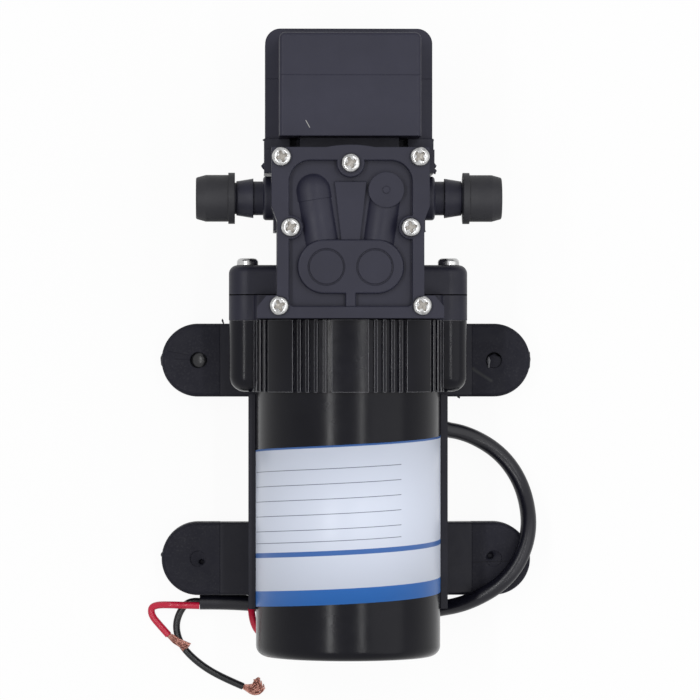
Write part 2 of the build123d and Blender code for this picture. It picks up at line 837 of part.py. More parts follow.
# Drive housing: closes the collar and carries the drive bearing
with BuildPart() as drive_housing:
    with BuildSketch(across(collar_front_y)):
        draw_ears(drive_radius)
    extrude(amount=drive_length)
    with BuildSketch(Plane.XY.offset(axis_height)):
        with Locations((0, collar_front_y)):
            Rectangle(2 * head_half_width, drive_length, align=(Align.CENTER, Align.MIN))
    extrude(amount=plate_bottom_z - axis_height)
    with BuildSketch(Plane.XY.offset(plate_bottom_z)):
        with Locations((0, collar_front_y)):
            Rectangle(2 * drive_radius, drive_length, align=(Align.CENTER, Align.MIN))
    extrude(amount=drive_radius, mode=Mode.SUBTRACT)
    disc(collar_front_y, drive_web, shaft_radius + joint_gap, Mode.SUBTRACT)
    disc(collar_front_y + drive_web, drive_length, drive_bearing_radius, Mode.SUBTRACT)
    with BuildSketch(across(collar_front_y)):
        with Locations((-lug_x, 0), (lug_x, 0)):
            Circle(clamp_screw_radius + running_fit)
    extrude(amount=drive_length, mode=Mode.SUBTRACT)
save(drive_housing, "drive_housing")

drive_bearing_y = collar_front_y + drive_web
with BuildPart() as drive_bearing:
    bearing(drive_bearing_y, bearing_length, drive_bearing_radius, shaft_radius + running_fit)
save(drive_bearing, "drive_bearing")

# Pump housing: crank room, diaphragm seat, hose tails, ears and neck in one moulding
with BuildPart() as pump_housing:
    with BuildSketch(across(drive_front_y)):
        draw_ears(head_half_width)
    extrude(amount=ear_length)
    ear_tops = pump_housing.faces().sort_by(Axis.Y)[-1].edges().filter_by(GeomType.CIRCLE)
    ear_tops = ear_tops.filter_by(lambda e: abs(e.radius - ear_radius) < edge_tolerance)
    fillet(ear_tops, ear_edge_radius)
    disc(drive_front_y, head_step_y - drive_front_y, head_half_width)
    with BuildSketch(Plane.XY.offset(axis_height)):
        with Locations((0, drive_front_y)):
            Rectangle(2 * head_half_width, head_step_y - drive_front_y, align=(Align.CENTER, Align.MIN))
    extrude(amount=plate_bottom_z - axis_height)
    with BuildSketch(Plane.XY.offset(plate_bottom_z)):
        with Locations((0, drive_front_y)):
            Rectangle(2 * head_half_width, head_length, align=(Align.CENTER, Align.MIN))
    extrude(amount=head_half_width, mode=Mode.SUBTRACT)
    with BuildSketch(Plane.XY.offset(plate_bottom_z)):
        draw_cover_outline()
    extrude(amount=head_plate_thickness)
    with BuildSketch(Plane.XY.offset(head_upper_bottom)):
        with Locations((0, head_step_y)):
            middle_length = head_front_y - head_step_y
            Rectangle(2 * head_middle_half_width, middle_length, align=(Align.CENTER, Align.MIN))
        with Locations((0, head_upper_y)):
            Rectangle(2 * head_upper_half_width, head_upper_length, align=(Align.CENTER, Align.MIN))
    extrude(amount=head_top - head_upper_bottom)
    for half_width in (head_middle_half_width, head_upper_half_width):
        side_edges = pump_housing.edges().filter_by(Axis.Y).filter_by(
            lambda e: abs(abs(e.center().X) - half_width) < edge_tolerance
        )
        fillet(side_edges.group_by(Axis.Z)[0], head_edge_radius)
    with BuildSketch(Plane.XZ.offset(-head_front_y)):
        with Locations((0, head_upper_bottom)):
            side_height = plate_bottom_z - head_upper_bottom
            Rectangle(2 * head_upper_half_width, side_height, align=(Align.CENTER, Align.MIN))
            for side in (-1, 1):
                groove_x = side * (neck_block_half_width + neck_groove_width / 2)
                with Locations((groove_x, side_height)):
                    Rectangle(
                        neck_groove_width,
                        neck_groove_depth,
                        align=(Align.CENTER, Align.MAX),
                        mode=Mode.SUBTRACT,
                    )
            block_height = head_top - head_upper_bottom
            Rectangle(2 * neck_block_half_width, block_height, align=(Align.CENTER, Align.MIN))
    extrude(amount=-neck_length)
    for side in (-1, 1):
        outward = Plane(origin=(0, port_y, port_height), z_dir=(side, 0, 0))
        boss_x = head_middle_half_width - cut_over
        with BuildSketch(outward.offset(boss_x)):
            Circle(port_boss_radius)
        extrude(amount=port_tip_x - boss_x)
        boss_rims = pump_housing.edges().filter_by(GeomType.CIRCLE).filter_by(
            lambda e: abs(e.arc_center.X - side * port_tip_x) < edge_tolerance
        )
        fillet(boss_rims, port_boss_edge_radius)
        port_x = port_tip_x
        with BuildSketch(outward.offset(port_x)):
            Circle(port_neck_radius)
        extrude(amount=port_neck_length)
        port_x = port_x + port_neck_length
        with BuildSketch(outward.offset(port_x)):
            Circle(barb_radius)
        with BuildSketch(outward.offset(port_x + barb_length)):
            Circle(barb_end_radius)
        loft()
        with BuildSketch(outward.offset(port_x + barb_length)):
            Circle(tail_radius)
        extrude(amount=tail_length)
        with BuildSketch(outward.offset(duct_x)):
            Circle(port_bore_radius)
        extrude(amount=port_x + barb_length + tail_length - duct_x, mode=Mode.SUBTRACT)
    crank_room_length = shaft_front_y + crank_room_margin - drive_front_y
    disc(drive_front_y, crank_room_length, crank_room_radius, Mode.SUBTRACT)
    with BuildSketch(Plane.XY.offset(axis_height)):
        with Locations((0, crank_y)):
            Circle(diaphragm_opening_radius)
    extrude(amount=head_top - axis_height, mode=Mode.SUBTRACT)
    with BuildSketch(Plane.XY.offset(seat_z)):
        with Locations((0, crank_y)):
            Circle(diaphragm_radius + running_fit)
    extrude(amount=diaphragm_rim, mode=Mode.SUBTRACT)
    cut_port_ducts(port_height, head_top)
    cut_cover_screw_holes(plate_bottom_z, head_top)
    with BuildSketch(across(drive_front_y)):
        with Locations((-lug_x, 0), (lug_x, 0)):
            Circle(clamp_screw_radius + running_fit)
    extrude(amount=ear_length, mode=Mode.SUBTRACT)
    chamber_rear_y = neck_front_y - switch_diaphragm_thickness - pressure_chamber_depth
    disc(chamber_rear_y, pressure_chamber_depth, pressure_chamber_radius, Mode.SUBTRACT)
    seat_y = chamber_rear_y + pressure_chamber_depth
    disc(seat_y, switch_diaphragm_thickness, switch_diaphragm_radius + running_fit, Mode.SUBTRACT)
    duct_plane = Plane(origin=(0, port_y, port_height - pressure_duct_drop), x_dir=(-1, 0, 0), z_dir=(0, 1, 0))
    with BuildSketch(duct_plane):
        with Locations((-pressure_duct_x, 0)):
            Circle(pressure_duct_radius)
    extrude(amount=chamber_rear_y - port_y + cut_over / 2, mode=Mode.SUBTRACT)
    cross_duct = Plane(origin=(pressure_duct_x, port_y, port_height - pressure_duct_drop), z_dir=(1, 0, 0))
    with BuildSketch(cross_duct):
        Circle(pressure_duct_radius)
    extrude(amount=duct_x - pressure_duct_x + port_bore_radius, mode=Mode.SUBTRACT)
save(pump_housing, "pump_housing")

ear_screw_places = [(-lug_x, 0), (lug_x, 0)]
clamp_length = ear_front_y - collar_rear_y - lug_screw_depth
with BuildPart() as clamp_screws:
    ear_plane = across(ear_front_y)
    head = (clamp_screw_head_radius, clamp_screw_head_height)
    draw_screws(ear_plane, ear_screw_places, *head, clamp_screw_radius, clamp_length)
    finish_screws(clamp_screws, ear_plane, ear_screw_places, *head)
save(clamp_screws, "clamp_screws")

# Valve plate: pump chamber below, two valve seats with rings of flow holes
inlet_x = -valve_x
outlet_x = valve_x
with BuildPart() as valve_plate:
    with BuildSketch(Plane.XY.offset(plate_z)):
        draw_cover_outline()
    extrude(amount=valve_plate_thickness)
    with BuildSketch(Plane.XY.offset(plate_z)):
        with Locations((0, crank_y)):
            Circle(diaphragm_opening_radius)
    extrude(amount=chamber_top - plate_z, mode=Mode.SUBTRACT)
    with BuildSketch(Plane.XY.offset(chamber_top)):
        with Locations((inlet_x, crank_y)):
            Circle(valve_disc_radius + joint_gap)
    extrude(amount=valve_pocket_depth, mode=Mode.SUBTRACT)
    with BuildSketch(Plane.XY.offset(chamber_top)):
        with Locations((inlet_x, crank_y), (outlet_x, crank_y)):
            Circle(valve_stem_radius + loose_fit)
            with PolarLocations(valve_hole_circle, valve_holes):
                Circle(valve_hole_radius)
    extrude(amount=valve_plate_thickness, mode=Mode.SUBTRACT)
    cut_port_ducts(plate_z, valve_plate_top)
    cut_cover_screw_holes(plate_z, valve_plate_top)
save(valve_plate, "valve_plate")


# Umbrella valve: a disc on its seat, a stem through the plate and a bead behind it
def make_valve(x, seat, back, direction, name):
    with BuildPart() as valve:
        with BuildSketch(Plane.XY.offset(seat)):
            with Locations((x, crank_y)):
                Circle(valve_disc_radius)
        extrude(amount=direction * valve_disc_thickness)
        with BuildSketch(Plane.XY.offset(seat)):
            with Locations((x, crank_y)):
                Circle(valve_stem_radius)
        extrude(amount=back - seat - direction * (valve_lift + loose_fit))
        with BuildSketch(Plane.XY.offset(back - direction * (valve_lift + loose_fit))):
            with Locations((x, crank_y)):
                Circle(valve_bead_radius)
        extrude(amount=-direction * valve_bead_length, taper=valve_bead_taper_degrees)
    save(valve, name)


make_valve(inlet_x, chamber_top + valve_pocket_depth, valve_plate_top, -1, "inlet_valve")
make_valve(outlet_x, valve_plate_top, chamber_top, 1, "outlet_valve")


# The rounded channel between a valve chamber and a port, seen from above
def draw_channel(rear_x, front_x, front_y, width):
    rear_y = crank_y
    run = math.hypot(front_x - rear_x, front_y - rear_y)
    slope = math.degrees(math.atan2(front_y - rear_y, front_x - rear_x))
    with Locations(Location(((rear_x + front_x) / 2, (rear_y + front_y) / 2), slope)):
        SlotCenterToCenter(run, width)


# Ducts and valve chambers, open towards the valve plate
def draw_flow_paths(width, chamber):
    draw_channel(-channel_rear_x, -channel_left_front_x, channel_left_front_y, width)
    draw_channel(channel_rear_x, channel_right_front_x, channel_right_front_y, width)
    with Locations((inlet_x, crank_y), (outlet_x, crank_y)):
        Circle(chamber)


with BuildPart() as cover_gasket:
    with BuildSketch(Plane.XY.offset(valve_plate_top)):
        draw_cover_outline()
    extrude(amount=gasket_thickness)
    with BuildSketch(Plane.XY.offset(valve_plate_top)):
        draw_flow_paths(duct_width, cavity_radius)
    extrude(amount=gasket_thickness, mode=Mode.SUBTRACT)
    cut_port_ducts(valve_plate_top, gasket_top)
    cut_cover_screw_holes(valve_plate_top, gasket_top)
save(cover_gasket, "cover_gasket")


# A rounded ridge over a channel of the cover, seen as part of a lying cylinder
def add_ridge(front_x, front_y, width, end_step):
    radius = (ridge_height**2 + (width / 2) ** 2) / (2 * ridge_height)
    height = cover_floor_z + ridge_height - radius
    rear = Vector(math.copysign(channel_rear_x, front_x), crank_y, height)
    front = Vector(front_x, front_y, height)
    with BuildSketch(Plane(origin=rear, z_dir=front - rear)) as section:
        Circle(radius)
    extrude(section.sketch, amount=(front - rear).length)
    if end_step > 0:
        seam = front + (rear - front).normalized() * ridge_seam_setback
        with BuildSketch(Plane(origin=seam, z_dir=front - rear)) as section:
            Circle(radius + end_step)
        extrude(section.sketch, amount=ridge_seam_setback)
        with Locations(Location(front)):
            Sphere(radius + end_step)


# Both ridges, cut off level with the floor of the cover's recess
with BuildPart() as channel_ridges:
    add_ridge(-channel_left_front_x, channel_left_front_y, left_ridge_width, ridge_seam_step)
    add_ridge(channel_right_front_x, channel_right_front_y, right_ridge_width, 0)
    split(bisect_by=Plane.XY.offset(cover_floor_z), keep=Keep.TOP)

# Valve cover: raised rim round a recess, with channel ridges and the valve boss
with BuildPart() as valve_cover:
    with BuildSketch(Plane.XY.offset(gasket_top)):
        draw_cover_outline()
    extrude(amount=cover_floor_thickness + cover_rim_height)
    with BuildSketch(Plane.XY.offset(cover_floor_z)) as recess:
        recess_length = recess_front_y - recess_rear_y
        with Locations((0, (recess_front_y + recess_rear_y) / 2)):
            Rectangle(2 * recess_half_width, recess_length)
        fillet(recess.vertices().group_by(Axis.Y)[-1], recess_corner_radius)
        fillet(recess.vertices().group_by(Axis.Y)[0], recess_rear_corner_radius)
        with Locations((0, cover_screw_centre_y)):
            Circle(top_boss_radius, mode=Mode.SUBTRACT)
        with Locations((-cover_screw_side_x, cover_screw_side_y), (cover_screw_side_x, cover_screw_side_y)):
            Circle(side_boss_radius, mode=Mode.SUBTRACT)
    outer_edges = valve_cover.faces().sort_by(Axis.Z)[-1].edges()
    extrude(amount=cover_rim_height, mode=Mode.SUBTRACT)
    rim_edges = valve_cover.faces().sort_by(Axis.Z)[-1].edges() - outer_edges
    fillet(rim_edges, rim_edge_radius)
    with BuildSketch(Plane.XY.offset(cover_floor_z)) as relief:
        stadium_length = stadium_front_y - stadium_rear_y
        with Locations((0, (stadium_front_y + stadium_rear_y) / 2)):
            SlotOverall(2 * stadium_half_width, stadium_length)
        with Locations((0, (stadium_rear_y + recess_rear_y) / 2)):
            Rectangle(stem_width, stadium_rear_y - recess_rear_y + cut_over)
    extrude(amount=relief_height)
    with BuildSketch(Plane.XY.offset(cover_floor_z)):
        with BuildLine():
            Polyline(
                (-web_front_half_width, web_front_y),
                (web_front_half_width, web_front_y),
                (web_rear_half_width, stadium_front_y),
                (-web_rear_half_width, stadium_front_y),
                close=True,
            )
        make_face()
    extrude(amount=web_height)
    relief_top = cover_floor_z + relief_height
    relief_faces = valve_cover.faces().filter_by(Axis.Z).filter_by(
        lambda f: abs(f.center().Z - relief_top) < edge_tolerance
    )
    relief_rims = relief_faces.edges().filter_by(lambda e: e.center().Y > recess_rear_y + cut_over)
    fillet(relief_rims, relief_edge_radius)
    add(channel_ridges.part)
    with BuildSketch(Plane.XY.offset(cover_floor_z)):
        with Locations((channel_right_front_x, channel_right_front_y)):
            Circle(channel_boss_radius)
    extrude(amount=relief_height)
    with BuildSketch(Plane.XY.offset(relief_top - circle_groove_depth)):
        with Locations((inlet_x, crank_y), (outlet_x, crank_y)):
            Circle(circle_radius)
            Circle(circle_radius - circle_groove, mode=Mode.SUBTRACT)
    extrude(amount=circle_groove_depth + cut_over, mode=Mode.SUBTRACT)
    with BuildSketch(Plane.XY.offset(relief_top)):
        with Locations((channel_right_front_x, channel_right_front_y)):
            Circle(gate_mark_radius)
    extrude(amount=gate_mark_height)
    with BuildSketch(Plane.XY.offset(gasket_top)):
        with Locations((inlet_x, crank_y), (outlet_x, crank_y)):
            Circle(cavity_radius)
    extrude(amount=cavity_depth, mode=Mode.SUBTRACT)
    with BuildSketch(Plane.XY.offset(gasket_top)):
        draw_channel(-channel_rear_x, -channel_left_front_x, channel_left_front_y, duct_width)
        draw_channel(channel_rear_x, channel_right_front_x, channel_right_front_y, duct_width)
    extrude(amount=duct_depth, mode=Mode.SUBTRACT)
    cut_cover_screw_holes(gasket_top, cover_top_z)
save(valve_cover, "valve_cover")

with BuildPart() as cover_screws:
    cover_plane = Plane.XY.offset(cover_top_z)
    head = (cover_screw_head_radius, cover_screw_head_height)
    draw_screws(cover_plane, cover_screw_places, *head, cover_screw_radius, cover_screw_length)
    finish_screws(cover_screws, cover_plane, cover_screw_places, *head)
save(cover_screws, "cover_screws")

# Dust caps pushed over the hose tails
for side, name in ((-1, "inlet_cap"), (1, "outlet_cap")):
    outward = Plane(origin=(0, port_y, port_height), z_dir=(side, 0, 0))
    with BuildPart() as dust_cap:
        with BuildSketch(outward.offset(cap_start_x)):
            Circle(cap_rim_radius)
        extrude(amount=cap_rim_length)
        with BuildSketch(outward.offset(cap_start_x)):
            Circle(cap_radius)
        extrude(amount=cap_length - cap_taper_length)
        with BuildSketch(outward.offset(cap_start_x + cap_length - cap_taper_length)):
            Circle(cap_radius)
        with BuildSketch(outward.offset(cap_start_x + cap_length)):
            Circle(cap_end_radius)
        loft()
        ends = dust_cap.edges().filter_by(GeomType.CIRCLE).sort_by(lambda e: abs(e.arc_center.X))
        fillet(ends[-1], cap_edge_radius)
        with BuildSketch(outward.offset(cap_start_x)):
            Circle(tail_radius + loose_fit)
        extrude(amount=cap_length - cap_end_wall, mode=Mode.SUBTRACT)
    save(dust_cap, name)

# One half of the switch housing: a deep block with a band round it
def add_switch_half(housing, rear_y, length, band_reach):
    front_y = rear_y + length
    sharp_ends = (rear_y,) if band_reach > 0 else (rear_y, front_y)
    with BuildSketch(Plane.XY.offset(switch_bottom)) as block:
        with Locations((0, rear_y)):
            Rectangle(2 * switch_block_half_width, length, align=(Align.CENTER, Align.MIN))
        if band_reach > 0:
            fillet(block.vertices().group_by(Axis.Y)[-1], switch_block_corner_radius)
    extrude(block.sketch, amount=switch_top - switch_bottom)
    rims = housing.faces().filter_by(Axis.Z).edges()
    for end_y in sharp_ends:
        rims = rims.filter_by(lambda e: abs(e.center().Y - end_y) > edge_tolerance)
    fillet(rims, switch_edge_radius)
    with BuildSketch(Plane.XY.offset(switch_strip_bottom)) as band:
        with Locations((0, rear_y)):
            Rectangle(2 * switch_half_width, length + band_reach, align=(Align.CENTER, Align.MIN))
        if band_reach > 0:
            fillet(band.vertices().group_by(Axis.Y)[-1], switch_band_corner_radius)
    extrude(band.sketch, amount=switch_strip_top - switch_strip_bottom)


# The room inside the switch, shared by body and cap
def cut_switch_room(y, length):
    with BuildSketch(across(y)) as room:
        RectangleRounded(2 * switch_room_half_width, 2 * switch_room_half_height, switch_room_corner)
    extrude(room.sketch, amount=length, mode=Mode.SUBTRACT)


switch_screw_places = [
    (-switch_screw_x, switch_screw_z),
    (switch_screw_x, switch_screw_z),
    (-switch_screw_x, -switch_screw_z),
    (switch_screw_x, -switch_screw_z),
]
room_y = neck_front_y + switch_floor
with BuildPart() as switch_body:
    add_switch_half(switch_body, neck_front_y, switch_body_length, 0)
    cut_switch_room(room_y, switch_body_length)
    disc(neck_front_y, switch_floor, plunger_foot_radius + loose_fit, Mode.SUBTRACT)
    with BuildSketch(across(neck_front_y)):
        with Locations(*switch_screw_places):
            Circle(switch_screw_radius + running_fit)
        with Locations((-grommet_x, grommet_height - axis_height)):
            Circle(grommet_radius - grommet_edge + running_fit)
    extrude(amount=switch_body_length, mode=Mode.SUBTRACT)
save(switch_body, "switch_body")

end_wall_y = switch_end_y - switch_wall
with BuildPart() as switch_cap:
    add_switch_half(switch_cap, switch_split_y, switch_cap_length, switch_band_reach)
    cut_switch_room(switch_split_y, end_wall_y - switch_split_y)
    guide_y = end_wall_y - adjuster_length
    disc(guide_y, adjuster_length, screw_guide_radius)
    bore_length = switch_end_y + switch_band_reach - guide_y
    disc(guide_y, bore_length, adjuster_radius + running_fit, Mode.SUBTRACT)
    with BuildSketch(across(switch_split_y)):
        with Locations(*switch_screw_places):
            Circle(switch_screw_radius + running_fit)
    extrude(amount=switch_cap_length, mode=Mode.SUBTRACT)
    with BuildSketch(across(switch_end_y)):
        with Locations(*switch_screw_places):
            Circle(switch_screw_head_radius + joint_gap)
    extrude(amount=-switch_screw_head_height - joint_gap, mode=Mode.SUBTRACT)
save(switch_cap, "switch_cap")

# Four screws hold the cap and the body
screw_seat_y = switch_end_y - switch_screw_head_height - joint_gap
with BuildPart() as switch_screws:
    seat_plane = across(screw_seat_y)
    head = (switch_screw_head_radius, switch_screw_head_height)
    screw_length = screw_seat_y - neck_front_y - switch_floor
    draw_screws(seat_plane, switch_screw_places, *head, switch_screw_radius, screw_length)
    finish_screws(switch_screws, seat_plane, switch_screw_places, *head)
save(switch_screws, "switch_screws")

with BuildPart() as switch_diaphragm:
    disc(neck_front_y - switch_diaphragm_thickness, switch_diaphragm_thickness, switch_diaphragm_radius)
save(switch_diaphragm, "switch_diaphragm")

# Plunger: a foot on the diaphragm, a stem for the spring and an arm for the button
plunger_y = neck_front_y + joint_gap
arm_y = plunger_y + plunger_foot_length
with BuildPart() as switch_plunger:
    disc(plunger_y, plunger_foot_length, plunger_foot_radius)
    disc(arm_y, plunger_stem_length, plunger_stem_radius)
    with BuildSketch(across(arm_y - striker_width / 2)):
        Rectangle(striker_reach, striker_width, align=(Align.MAX, Align.CENTER))
    extrude(amount=striker_width / 2)
save(switch_plunger, "switch_plunger")

# Adjusting screw in the cap, with a hexagon socket outside
adjuster_y = guide_y + adjuster_recess
with BuildPart() as adjusting_screw:
    disc(adjuster_y, switch_end_y - adjuster_recess - adjuster_y, adjuster_radius)
    chamfer(adjusting_screw.edges().filter_by(GeomType.CIRCLE), joint_gap)
    with BuildSketch(across(switch_end_y - adjuster_recess)):
        RegularPolygon(adjuster_socket, 6, major_radius=False)
    extrude(amount=-adjuster_socket_depth, mode=Mode.SUBTRACT)
save(adjusting_screw, "adjusting_screw")

spring_length = adjuster_y - arm_y - 2 * spring_wire_radius
with BuildPart() as switch_spring:
    with BuildLine():
        Helix(
            pitch=spring_length / spring_turns,
            height=spring_length,
            radius=spring_radius,
            center=(0, arm_y + spring_wire_radius, axis_height),
            direction=(0, 1, 0),
        )
    spring_line = switch_spring.pending_edges[0]
    with BuildSketch(Plane(origin=spring_line @ 0, z_dir=spring_line % 0)):
        Circle(spring_wire_radius)
    sweep(is_frenet=True)
save(switch_spring, "switch_spring")

# Microswitch beside the plunger, with its button facing the plunger's arm
button_y = arm_y + joint_gap
microswitch_y = button_y + button_length - plunger_travel
with BuildPart() as microswitch:
    with BuildSketch(across(microswitch_y)):
        with Locations((-microswitch_x, 0)):
            Rectangle(microswitch_width, microswitch_height)
    extrude(amount=microswitch_length)
    with BuildSketch(across(microswitch_y + microswitch_length)):
        with GridLocations(0, microswitch_height / 3, 1, 3):
            with Locations((-microswitch_x, 0)):
                Rectangle(microswitch_width / 2, terminal_width)
    extrude(amount=terminal_length)
    with BuildSketch(across(microswitch_y)):
        with Locations((-microswitch_x + microswitch_width / 4, 0)):
            Circle(button_radius + running_fit)
    extrude(amount=plunger_travel * 2, mode=Mode.SUBTRACT)
save(microswitch, "microswitch")

with BuildPart() as microswitch_button:
    with BuildSketch(across(button_y)):
        with Locations((-microswitch_x + microswitch_width / 4, 0)):
            Circle(button_radius)
    extrude(amount=button_length)
save(microswitch_button, "microswitch_button")

# Cable grommet under the switch
grommet_plane = Plane(origin=(grommet_x, neck_front_y, grommet_height), z_dir=(0, -1, 0))
with BuildPart() as cable_grommet:
    with BuildSketch(grommet_plane):
        Circle(grommet_radius)
    with BuildSketch(grommet_plane.offset(grommet_length)):
        Circle(sleeve_radius + grommet_edge)
    loft()
    with BuildSketch(grommet_plane.offset(-switch_floor)):
        Circle(grommet_radius - grommet_edge)
    extrude(amount=switch_floor)
save(cable_grommet, "cable_grommet")


# A cord: straight runs joined by arcs as large as the runs allow
def make_cord(points, radius, name):
    vectors = [Vector(*point) for point in points]
    runs = [b - a for a, b in zip(vectors, vectors[1:])]
    radii = []
    for before, after in zip(runs, runs[1:]):
        turn = math.radians(before.get_angle(after))
        shorter = min(before.length, after.length)
        radii.append(bend_share * shorter / math.tan(turn / 2))
    with BuildPart() as cord:
        with BuildLine() as path:
            FilletPolyline(*points, radius=radii)
        route = path.wires()[0]
        with BuildSketch(Plane(origin=route @ 0, z_dir=route % 0)):
            Circle(radius)
        sweep(path=route)
    expected = math.pi * radius**2 * route.length
    tightest = min(radii) / (2 * radius)
    print(f"{name}: length {route.length:.1f}, tightest bend {tightest:.1f} diameters,",
          f"volume over section times length {cord.part.volume / expected:.4f}")
    save(cord, name)


bend_share = 0.45
sleeve_points = [
    (grommet_x, neck_front_y - grommet_length, grommet_height),
    (9.0, 69.5, 9.6),
    (13.0, 57.0, 7.4),
    (17.6, 46.0, 8.2),
    (20.8, 34.5, 11.7),
    (20.3, 17.2, 11.0),
    (25.4, 9.0, 7.4),
    (34.6, 5.2, 3.4),
    (42.6, -1.2, 2.5),
    (47.6, -9.6, 4.4),
    (48.2, -20.6, 11.0),
    (42.6, -31.0, 12.8),
    (33.0, -38.3, 10.3),
    (22.4, -40.6, 4.2),
    (9.5, -42.4, 2.2),
    (-6.0, -42.6, 2.2),
    (-22.9, -41.2, 2.3),
    (-39.1, -39.0, 2.3),
]
make_cord(sleeve_points, sleeve_radius, "cable_sleeve")

black_points = [
    (-39.0, -38.26, 1.6),
    (-41.9, -37.9, 1.5),
    (-44.6, -41.0, 1.0),
    (-45.7, -45.4, 1.0),
    (-44.0, -50.4, 1.0),
    (-39.3, -55.0, 1.0),
    (-33.6, -58.5, 1.0),
    (-28.0, -60.9, 1.0),
]
make_cord(black_points, black_radius, "lead_black")

red_points = [
    (-39.2, -39.75, 3.0),
    (-42.5, -39.4, 3.0),
    (-46.6, -39.0, 4.2),
    (-50.7, -39.3, 2.0),
    (-52.4, -40.5, 1.2),
    (-52.3, -42.6, 1.0),
    (-50.6, -44.9, 1.0),
    (-48.6, -46.8, 1.0),
]
make_cord(red_points, red_radius, "lead_red")

red_strand_points = [
    (-48.6, -46.8, 1.0),
    (-46.0, -48.6, 2.4),
    (-43.2, -50.2, 3.2),
]
make_cord(red_strand_points, strand_radius, "red_strands")

black_strand_points = [
    (-28.0, -60.9, 1.0),
    (-25.4, -61.7, 1.0),
    (-23.6, -60.2, 1.0),
]
make_cord(black_strand_points, strand_radius, "black_strands")

motor_lead_points = [
    (-16.4, -45.9, 14.6),
    (-19.8, -46.1, 11.2),
    (-24.2, -46.6, 8.2),
    (-26.9, -42.6, 6.2),
    (-25.0, -40.7, 3.4),
]
make_cord(motor_lead_points, red_radius, "motor_lead_red")
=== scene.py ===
import math

import bmesh
import bpy
from mathutils import Matrix, Vector


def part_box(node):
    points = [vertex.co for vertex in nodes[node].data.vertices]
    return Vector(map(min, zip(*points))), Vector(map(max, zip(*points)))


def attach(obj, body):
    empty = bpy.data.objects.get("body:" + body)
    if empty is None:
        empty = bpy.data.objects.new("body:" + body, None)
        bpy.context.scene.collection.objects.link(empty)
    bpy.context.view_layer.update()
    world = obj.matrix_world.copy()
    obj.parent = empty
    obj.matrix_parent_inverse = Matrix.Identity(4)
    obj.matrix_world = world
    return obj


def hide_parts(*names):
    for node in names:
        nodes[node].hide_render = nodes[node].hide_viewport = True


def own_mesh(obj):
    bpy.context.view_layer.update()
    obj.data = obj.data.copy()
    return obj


# Caravan water pump: finishes, motor label, cable with its leads, skins in the feet's screw
# holes, moulding flash, soft inner pieces, camera and light.
# Lengths are in metres, in the frame of the model: X right, Y towards the pressure
# switch, Z up, with the origin on the floor between the four feet.

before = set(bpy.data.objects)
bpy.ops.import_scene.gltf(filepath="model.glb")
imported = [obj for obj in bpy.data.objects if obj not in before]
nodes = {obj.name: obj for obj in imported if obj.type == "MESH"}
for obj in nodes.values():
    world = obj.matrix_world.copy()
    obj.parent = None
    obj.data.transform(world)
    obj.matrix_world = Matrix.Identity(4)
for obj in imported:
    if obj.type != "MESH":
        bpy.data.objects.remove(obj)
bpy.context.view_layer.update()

# Camera, straight above and a little to the left
camera_place = Vector((-0.0265, 0.0292, 1.181))
camera_target = Vector((0.0005, 0.0292, 0.031))
camera_lens = 226.0
camera_sensor = 36.0

# Floor and light
floor_glow = 0.94
floor_half_size = 1.5
sky_as_light = 0.42
lamp_target = Vector((0, 0.02, 0.03))

# Cable and leads
sleeve_radius = 0.0021
red_radius = 0.00095
black_radius = 0.00095
strand_radius = 0.00013

# Frayed wires: the turn and the reach from wire to wire, and how they sway to the side and up
golden_angle = 2.39996
reach_step = 2.4
side_waves, side_step = 9, 1.7
high_waves, high_step = 7, 2.9

# Motor label
motor_low, motor_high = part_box("motor_can")
motor_radius = (motor_high.x - motor_low.x) / 2
motor_axis_height = (motor_high.z + motor_low.z) / 2
label_gap = 0.00003
label_thickness = 0.00004
label_rear = -0.0359
label_front = 0.00497
label_wrap = math.radians(104)
label_slope = 0.0020 / math.radians(90)
label_steps = 96

# Ruled rows of the label: heights, ends and half thickness as shares of the sheet
label_row_heights = [0.855, 0.760, 0.665, 0.570, 0.475, 0.400]
label_row_ends = (0.10, 0.66)
label_row_half = 0.0024

# Print of the label, with the share of the sheet at which each stripe begins
label_ground = (0.62, 0.665, 0.775, 1)
label_band_blue = (0.022, 0.140, 0.47, 1)
label_line_blue = (0.045, 0.13, 0.38, 1)
label_row_grey = (0.16, 0.18, 0.24)
label_stripes = [
    (0.0, label_band_blue),
    (0.094, label_ground),
    (0.306, label_line_blue),
    (0.338, label_ground),
    (0.985, label_line_blue),
]

# Cover screws: where they sit, and how far and how high the crosses in their heads reach
cover_screw_places = [
    (-0.01825, 0.0405),
    (0.01825, 0.0405),
    (-0.0176, 0.0785),
    (0.0, 0.0769),
    (0.0176, 0.0785),
    (-0.0153, 0.0605),
    (0.0153, 0.0605),
]
cross_reach = 0.00162
cross_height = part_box("cover_screws")[1].z - 0.0001

# The share of its range in which nearly all of a noise lies
noise_span = (0.3, 0.7)
dust_colour = (0.044, 0.044, 0.050)

# The share of a mark's width that has its full colour, and how far a surface turns from its
# soft edge, as a cosine, where the painted highlight starts and where it is full
mark_core = 0.1
highlight_span = (0.995, 0.90)


def start_material(name):
    material = bpy.data.materials.new(name)
    material.use_nodes = True
    tree = material.node_tree
    tree.nodes.clear()
    output = tree.nodes.new("ShaderNodeOutputMaterial")
    shader = tree.nodes.new("ShaderNodeBsdfPrincipled")
    tree.links.new(shader.outputs["BSDF"], output.inputs["Surface"])
    return material, tree, shader


def find_shader(material):
    return next(node for node in material.node_tree.nodes if node.type == "BSDF_PRINCIPLED")


def object_coordinates(tree):
    return tree.nodes.new("ShaderNodeTexCoord").outputs["Object"]


# A step of a pattern, fed with plain values and with the results of other steps
def add_step(tree, kind, operation, *values):
    step = tree.nodes.new(kind)
    step.operation = operation
    for socket, value in zip(step.inputs, values):
        if isinstance(value, bpy.types.NodeSocket):
            tree.links.new(value, socket)
        else:
            socket.default_value = value
    return step


def on_numbers(tree, operation, *values):
    return add_step(tree, "ShaderNodeMath", operation, *values).outputs["Value"]


